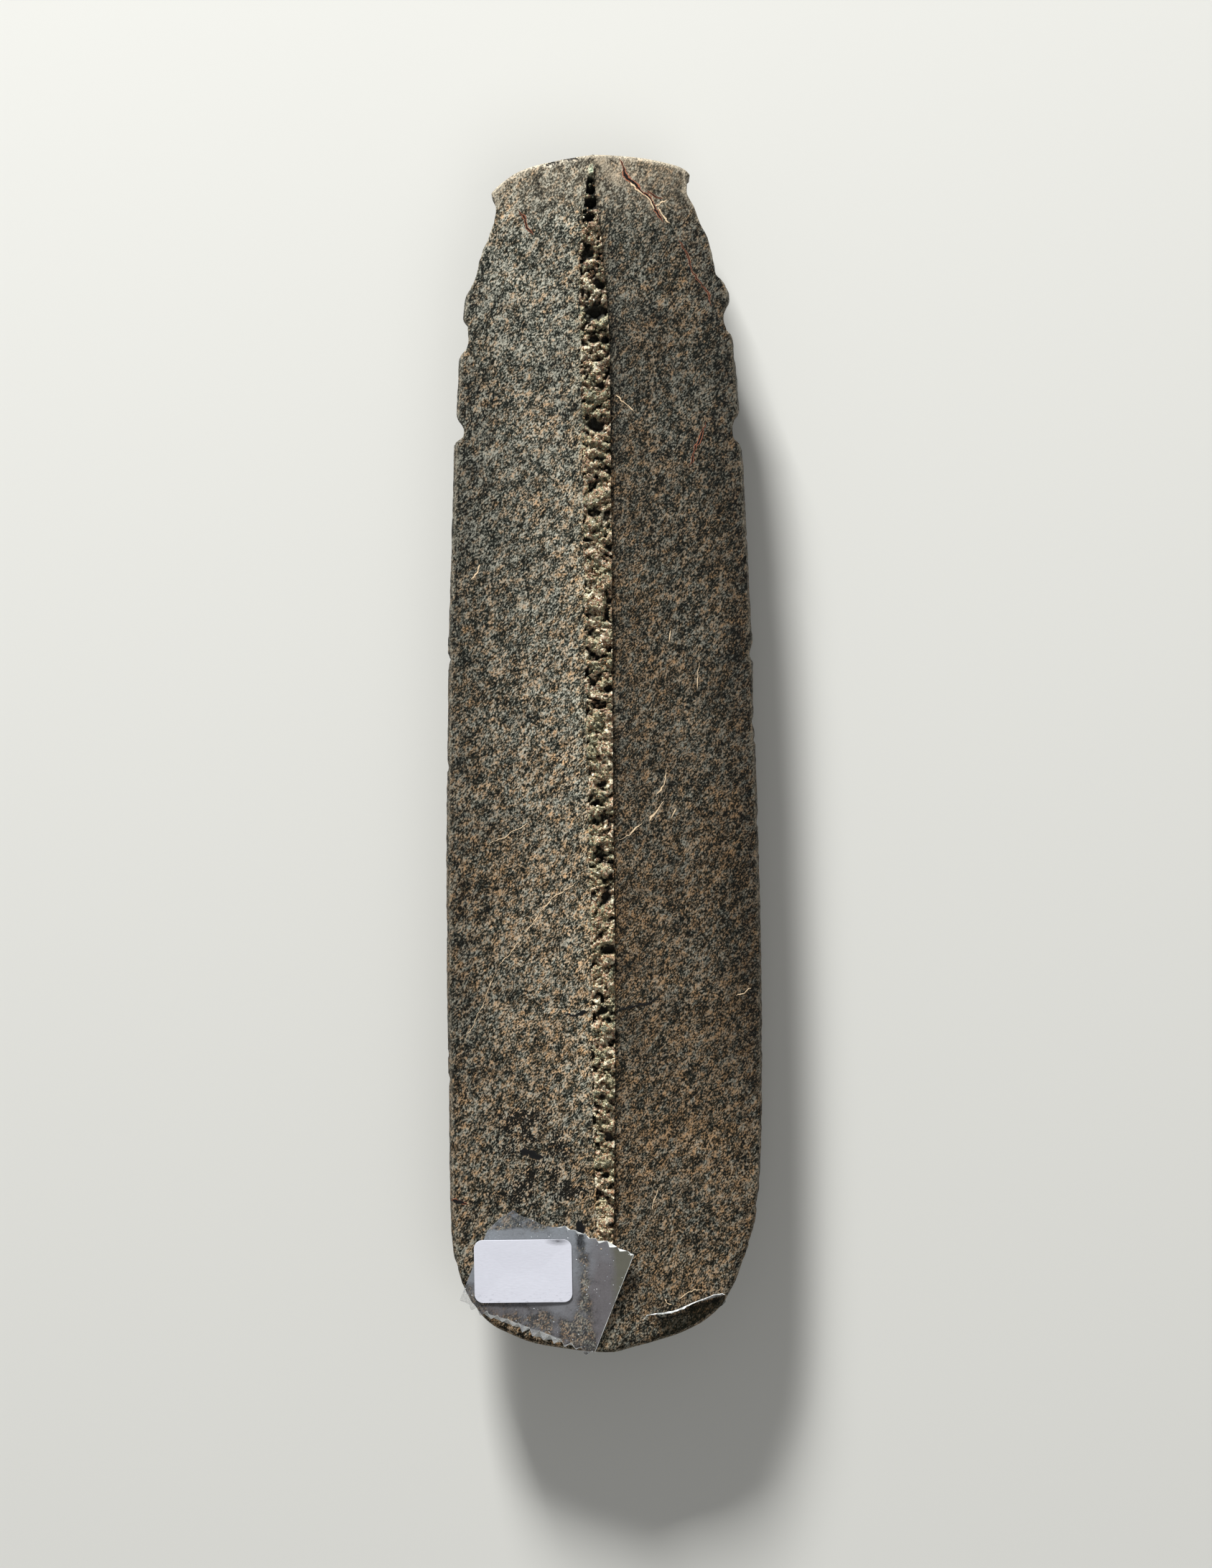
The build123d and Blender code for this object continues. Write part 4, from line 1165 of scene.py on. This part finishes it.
def tape_mesh(stone, tape):
    """The tape as rows of points across it, cut to teeth at both ends, with its thickness."""
    u = np.linspace(tape_foot[0][0], tape_foot[-1][0], 150)
    u = np.sort(np.concatenate([u, u[-1] - np.array([0.02, 0.05, 0.09])]))
    low = through(u, tape_foot) + 0.3 - 1.6 * saw_tooth(u, tape, 141) * rise(u, -8.6, 1.0)
    whole = through(u, tape_head) + saw_tooth(u, tape, 143) * rise(u, -1.0, 0.5)
    whole = whole + 0.06 * line_noise(u, 0.9, 144)
    high = whole + through(u, smear_rows) * (1 + 0.25 * line_noise(u, 0.7, 145))
    share = np.concatenate([[0, 0.003, 0.008], np.linspace(0.015, 0.985, 54), [0.992, 0.997, 1]])
    v = low[None, :] + (high - low)[None, :] * share[:, None]
    u = np.broadcast_to(u[None, :], v.shape)
    smear = rise(v, whole - 0.2, 0.3)
    to_edge = np.minimum(np.minimum(v - low, high - v + np.where(u < -1.4, 9, 0)), u[0, -1] - u)
    x, y = turned((tape.tape_x, tape.tape_y), tape.tape_turn, u, v)
    free = rise(x, 0.3 + 0.25 * soft_noise(x, y, 1.5, 133), 0.9)
    bond = np.maximum(tape_bond(x, y), smear * (0.80 + 0.4 * soft_noise(x, y, 0.8, 134)))
    # The cut share carries the painted highlight along the cut ends and the right edge
    layers = {"bond": bond, "free": free, "cut": rise(to_edge, 0.13, -0.13)}
    return film_mesh("tape_strip", x, y, tape_height(stone, tape, x, y), tape.film_thickness, layers)


def film_mesh(name, x, y, z, thickness, layers):
    """A closed thin film from a grid of places, with shares that its material reads."""
    over = np.stack([x, y, z + thickness], axis=2)
    under = np.stack([x, y, z], axis=2)[:, ::-1]
    mesh = grid_mesh(name, np.concatenate([over, under], axis=1))
    for layer, values in layers.items():
        store(mesh, layer, np.concatenate([values, values[:, ::-1]], axis=1))
    return mesh


def film_grid(count_along, count_across):
    """Plan grid of the film scrap between its torn upper edge and its lower edge."""
    s = np.linspace(0, 1, count_along)

    def stations(rows):
        """Even stations along an edge of the scrap."""
        places = np.linspace(0, 1, len(rows))
        return np.stack([np.interp(s, places, column) for column in np.array(rows).T], axis=1)

    top, foot = stations(film_upper), stations(film_lower)
    top[:, 1] += 0.07 * line_noise(s * 12, 0.6, 151) + 0.05 * line_noise(s * 12, 0.22, 152)
    share = np.linspace(0, 1, count_across)[:, None, None]
    grid = foot[None] * (1 - share) + top[None] * share
    return grid[..., 0], grid[..., 1]


def rounded_plate(tape, stone):
    """The label: a rounded plate laid on the tape, with its edge turned a little over."""
    loops = []
    for inset, up in label_rings:
        radius = max(tape.label_corner - inset, 0.25)
        reach_x, reach_y = (size / 2 - inset - radius for size in (tape.label_length, tape.label_width))
        loop = []
        for side_x, side_y, start in ((1, 1, 0), (-1, 1, 90), (-1, -1, 180), (1, -1, 270)):
            for a in np.radians(np.linspace(start, start + 90, 9)):
                x, y = side_x * reach_x + radius * math.cos(a), side_y * reach_y + radius * math.sin(a)
                loop.append((x, y, up))
        loops.append(loop)
    ring = np.array(loops)
    x, y = turned(label_middle, math.radians(0.2), ring[..., 0], ring[..., 1])
    base = sawn_face(stone, x, y) + tape.film_gap * 2 + tape.film_thickness + 0.03
    return grid_mesh("paper_label", np.stack([x, y, base + ring[..., 2] * tape.label_thickness], axis=2))


def finish_piece(piece, slot_name, *nodes):
    """Rides a piece on the root body and hides the CAD nodes that it stands for; its slot's name is not used.
    """
    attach(piece, "root")
    if nodes:
        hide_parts(*nodes)


def settings_of(context):
    """The stone's and the tape's settings, in millimetres."""
    return in_millimetres(context.scene.pendant_stone), in_millimetres(context.scene.pendant_tape)


class PENDANT_OT_stage(bpy.types.Operator):
    """Make the pale floor, the soft lights and the camera that looks straight down."""

    bl_idname = "pendant.stage"
    bl_label = "Stage"

    def execute(self, context):
        stage = context.scene.pendant_stage
        floor_mesh = bpy.data.meshes.new("floor")
        floor_mesh.from_pydata([(-2, -2, 0), (2, -2, 0), (2, 2, 0), (-2, 2, 0)], [], [(0, 1, 2, 3)])
        card = Shader("pale_matte_card").finish(linear(stage.floor_colour), 0.9)
        floor = add_object("floor", floor_mesh, card)

        # Each light: name, angle above the floor, swing to the left of the crest, side, power
        aim, distance = Vector((0, 0, 0.01)), 1.20
        lights = (
            ("key_light", stage.key_elevation, stage.key_swing, stage.key_size, stage.key_power),
            ("fill_light", math.radians(62), math.radians(-150), 0.9, 0.10 * stage.key_power),
        )
        for name, above, swing, size, power in lights:
            data = bpy.data.lights.new(name, "AREA")
            data.size, data.energy = size, power
            light = bpy.data.objects.new(name, data)
            context.scene.collection.objects.link(light)
            level = math.cos(above)
            out = Vector((-math.sin(swing) * level, math.cos(swing) * level, math.sin(above)))
            light.location = aim + out * distance
            light.rotation_euler = (-out).to_track_quat("-Z", "Y").to_euler()
        world = bpy.data.worlds.new("plain_room")
        world.use_nodes = True
        background = world.node_tree.nodes["Background"].inputs
        background["Color"].default_value = (1, 1, 1, 1)
        background["Strength"].default_value = stage.fill_strength
        context.scene.world = world

        data = bpy.data.cameras.new("camera")
        data.lens = stage.lens
        camera = bpy.data.objects.new("camera", data)
        context.scene.collection.objects.link(camera)
        camera.location = (stage.camera_x, stage.camera_y, stage.camera_height)
        camera.rotation_euler = (0, 0, stage.camera_roll)
        context.scene.camera = camera
        context.scene.view_settings.view_transform = "Standard"
        return {"FINISHED"}


class PENDANT_OT_stone(bpy.types.Operator):
    """Make the carved stone with its sawn back, the trench for the septum and the drilled cord hole."""

    bl_idname = "pendant.stone"
    bl_label = "Carved stone"

    def execute(self, context):
        stone = in_millimetres(context.scene.pendant_stone)
        material = stone_material(stone)
        piece = add_object("carved_stone", stone_mesh(stone), material)
        drill = add_object("cord_hole_drill", drill_mesh(), material)
        cut = piece.modifiers.new("cord_hole", "BOOLEAN")
        cut.operation, cut.solver, cut.object = "DIFFERENCE", "EXACT", drill
        graph = context.evaluated_depsgraph_get()
        mesh = bpy.data.meshes.new_from_object(piece.evaluated_get(graph))
        piece.modifiers.remove(cut)
        bpy.data.objects.remove(drill)
        piece.data = mesh
        smooth(mesh, 42)
        finish_piece(piece, "stone", "pendant_stone")
        return {"FINISHED"}


class PENDANT_OT_septum(bpy.types.Operator):
    """Make the snapped septum and scatter small broken crystals over it."""

    bl_idname = "pendant.septum"
    bl_label = "Snapped septum"

    def execute(self, context):
        stone = in_millimetres(context.scene.pendant_stone)
        piece = add_object("snapped_septum", septum_mesh(stone), septum_material(stone), 55)
        finish_piece(piece, "stone")
        y = np.arange(-74.5, 77.8, 0.3)
        left, right = septum_edge(y, -1), septum_edge(y, 1)
        x = columns(left, right, np.linspace(0.05, 0.95, 14))
        rows = np.broadcast_to(y[:, None], x.shape)
        height, _ = torn_top(stone, x, rows)
        hidden = 1.6 * np.clip((stone.thickness - stone.septum_drop - height - 0.30) / 0.15, 0, 1)
        top = np.stack([x, rows, height - 0.03 - hidden], axis=2)
        material = grain_material()
        values = {"Density": stone.grain_density, "Smallest": stone.grain_small * MM,
                  "Largest": stone.grain_large * MM, "Seed": 7, "Material": material}
        tree = scatter_tree("Broken crystals", 0.0)
        half = len(y) // 2
        for name, part in (("lower_crystals", slice(0, half + 1)), ("upper_crystals", slice(half, None))):
            carrier = grid_mesh(name + "_top", top[part], closed=False)
            finish_piece(scatter(name, carrier, tree, values, material), "stone")
        return {"FINISHED"}


class PENDANT_OT_marks(bpy.types.Operator):
    """Lay the rusty cracks, the pale scratches and the old ink marks on the sawn faces."""

    bl_idname = "pendant.marks"
    bl_label = "Cracks and marks"

    def execute(self, context):
        stone = in_millimetres(context.scene.pendant_stone)

        # Each kind: piece, table, lift, seed, then its material's name, colours, roughness and raggedness
        kinds = (
            ("rusty_cracks", red_cracks, 0.02, 201, "iron_stained_crack", "#0b0604", "#a5694e", 0.8, 0.8),
            ("pale_scratches", pale_scratches, 0.02, 301, "bruised_scratch", "#e0c9a6", "#9a8163", 0.6, 0.8),
            ("ink_marks", ink_marks, 0.035, 401, "old_drawing_ink", "#09090a", "#121213", 0.5, 0.7),
        )
        for name, marks, lift, seed, *look in kinds:
            mesh = mark_mesh(stone, name, marks, lift, seed)
            finish_piece(add_object(name, mesh, mark_material(*look), 30), "stone")
        return {"FINISHED"}


class PENDANT_OT_tape(bpy.types.Operator):
    """Lay the clear tape with its serrated ends and the bubbles under it."""

    bl_idname = "pendant.tape"
    bl_label = "Tape"

    def execute(self, context):
        stone, tape = settings_of(context)
        mesh = tape_mesh(stone, tape)
        material = tape_material("clear_film_tape", tape.haze_colour, "#5d5c52", 0.84, 0.14, 1.35)
        finish_piece(add_object("film_tape", mesh, material, 50), "tape", "tape_strip")
        # Bubbles under the tape, drawn pale as painted glints
        bubble = speck_material("trapped_air_glints", "#8f959b", "#dfe2e4")
        values = {"Density": tape.bubble_density, "Smallest": tape.bubble_small * MM,
                  "Largest": tape.bubble_large * MM, "Seed": 3, "Material": bubble}
        bubbles = scatter("tape_bubbles", mesh.copy(), scatter_tree("Trapped bubbles", 1.0), values, bubble)
        finish_piece(bubbles, "tape")
        return {"FINISHED"}


class PENDANT_OT_label(bpy.types.Operator):
    """Lay the bare paper label on the tape."""

    bl_idname = "pendant.label"
    bl_label = "Label"

    def execute(self, context):
        stone, tape = settings_of(context)
        piece = add_object("label_paper", rounded_plate(tape, stone), paper_material(tape), 40)
        finish_piece(piece, "label", "paper_label")
        return {"FINISHED"}


class PENDANT_OT_film(bpy.types.Operator):
    """Lay the torn scrap of film at the rim, with its white torn edge."""

    bl_idname = "pendant.film"
    bl_label = "Film scrap"

    def execute(self, context):
        stone, tape = settings_of(context)
        along, across = 90, 14                       # points of the scrap each way
        x, y = film_grid(along, across)
        curl = 0.16 * rise(np.linspace(0, 1, across)[:, None], 0.72, 0.28) ** 2
        z = sawn_face(stone, x, y) + tape.film_gap + curl
        start = rise(np.linspace(0, 1, along)[None, :], 0.34, -0.34)
        layers = {"bond": 0.15 + start + 0 * x, "free": 0 * x, "cut": 0 * x}
        film = film_mesh("film_scrap", x, y, z, tape.film_thickness, layers)
        material = tape_material("clear_film_scrap", "#171a0c", "#171a0c", 0.38, 0.0, 1.15)
        finish_piece(add_object("torn_film", film, material, 50), "film", "film_scrap")

        x, y, z = x[-1], y[-1], z[-1] + 0.07
        wide = 0.11 * (1 + 0.7 * soft_noise(x, y, 0.5, 161)) * (0.35 + np.exp(-((x - 9.3) / 2.6) ** 2))
        x, y, z = (np.stack(pair) for pair in ((x, x), (y - 0.5 * wide, y + 0.5 * wide), (z + 0.03, z + 0.01)))
        torn = film_mesh("torn_edge", x, y, z, 0.03, {})
        edge = add_object("torn_edge", torn, speck_material("crazed_film_edge", "#8f928e", "#f3f4f2"), 50)
        finish_piece(edge, "film")
        return {"FINISHED"}


class PENDANT_PT_panel(bpy.types.Panel):
    """Lists the pieces and their settings."""

    bl_label = "Pendant"
    bl_idname = "PENDANT_PT_panel"
    bl_space_type = "VIEW_3D"
    bl_region_type = "UI"
    bl_category = "Pendant"

    def draw(self, context):
        for step in steps:
            self.layout.operator(step.bl_idname)
        for group in (context.scene.pendant_stone, context.scene.pendant_tape, context.scene.pendant_stage):
            box = self.layout.box()
            for name in group.__annotations__:
                box.prop(group, name)


steps = (PENDANT_OT_stage, PENDANT_OT_stone, PENDANT_OT_septum, PENDANT_OT_marks, PENDANT_OT_tape,
         PENDANT_OT_label, PENDANT_OT_film)
classes = (StoneSettings, TapeSettings, StageSettings, *steps, PENDANT_PT_panel)


def register():
    """Registers the classes and puts the settings on the scene."""
    for item in classes:
        bpy.utils.register_class(item)
    bpy.types.Scene.pendant_stone = PointerProperty(type=StoneSettings)
    bpy.types.Scene.pendant_tape = PointerProperty(type=TapeSettings)
    bpy.types.Scene.pendant_stage = PointerProperty(type=StageSettings)


def unregister():
    """Takes the settings and the classes away again."""
    del bpy.types.Scene.pendant_stone
    del bpy.types.Scene.pendant_tape
    del bpy.types.Scene.pendant_stage
    for item in reversed(classes):
        bpy.utils.unregister_class(item)


def main():
    """Makes every piece in order."""
    register()
    bpy.ops.pendant.stage()
    bpy.ops.pendant.stone()
    bpy.ops.pendant.septum()
    bpy.ops.pendant.marks()
    bpy.ops.pendant.tape()
    bpy.ops.pendant.label()
    bpy.ops.pendant.film()


if __name__ == "__main__":
    main()
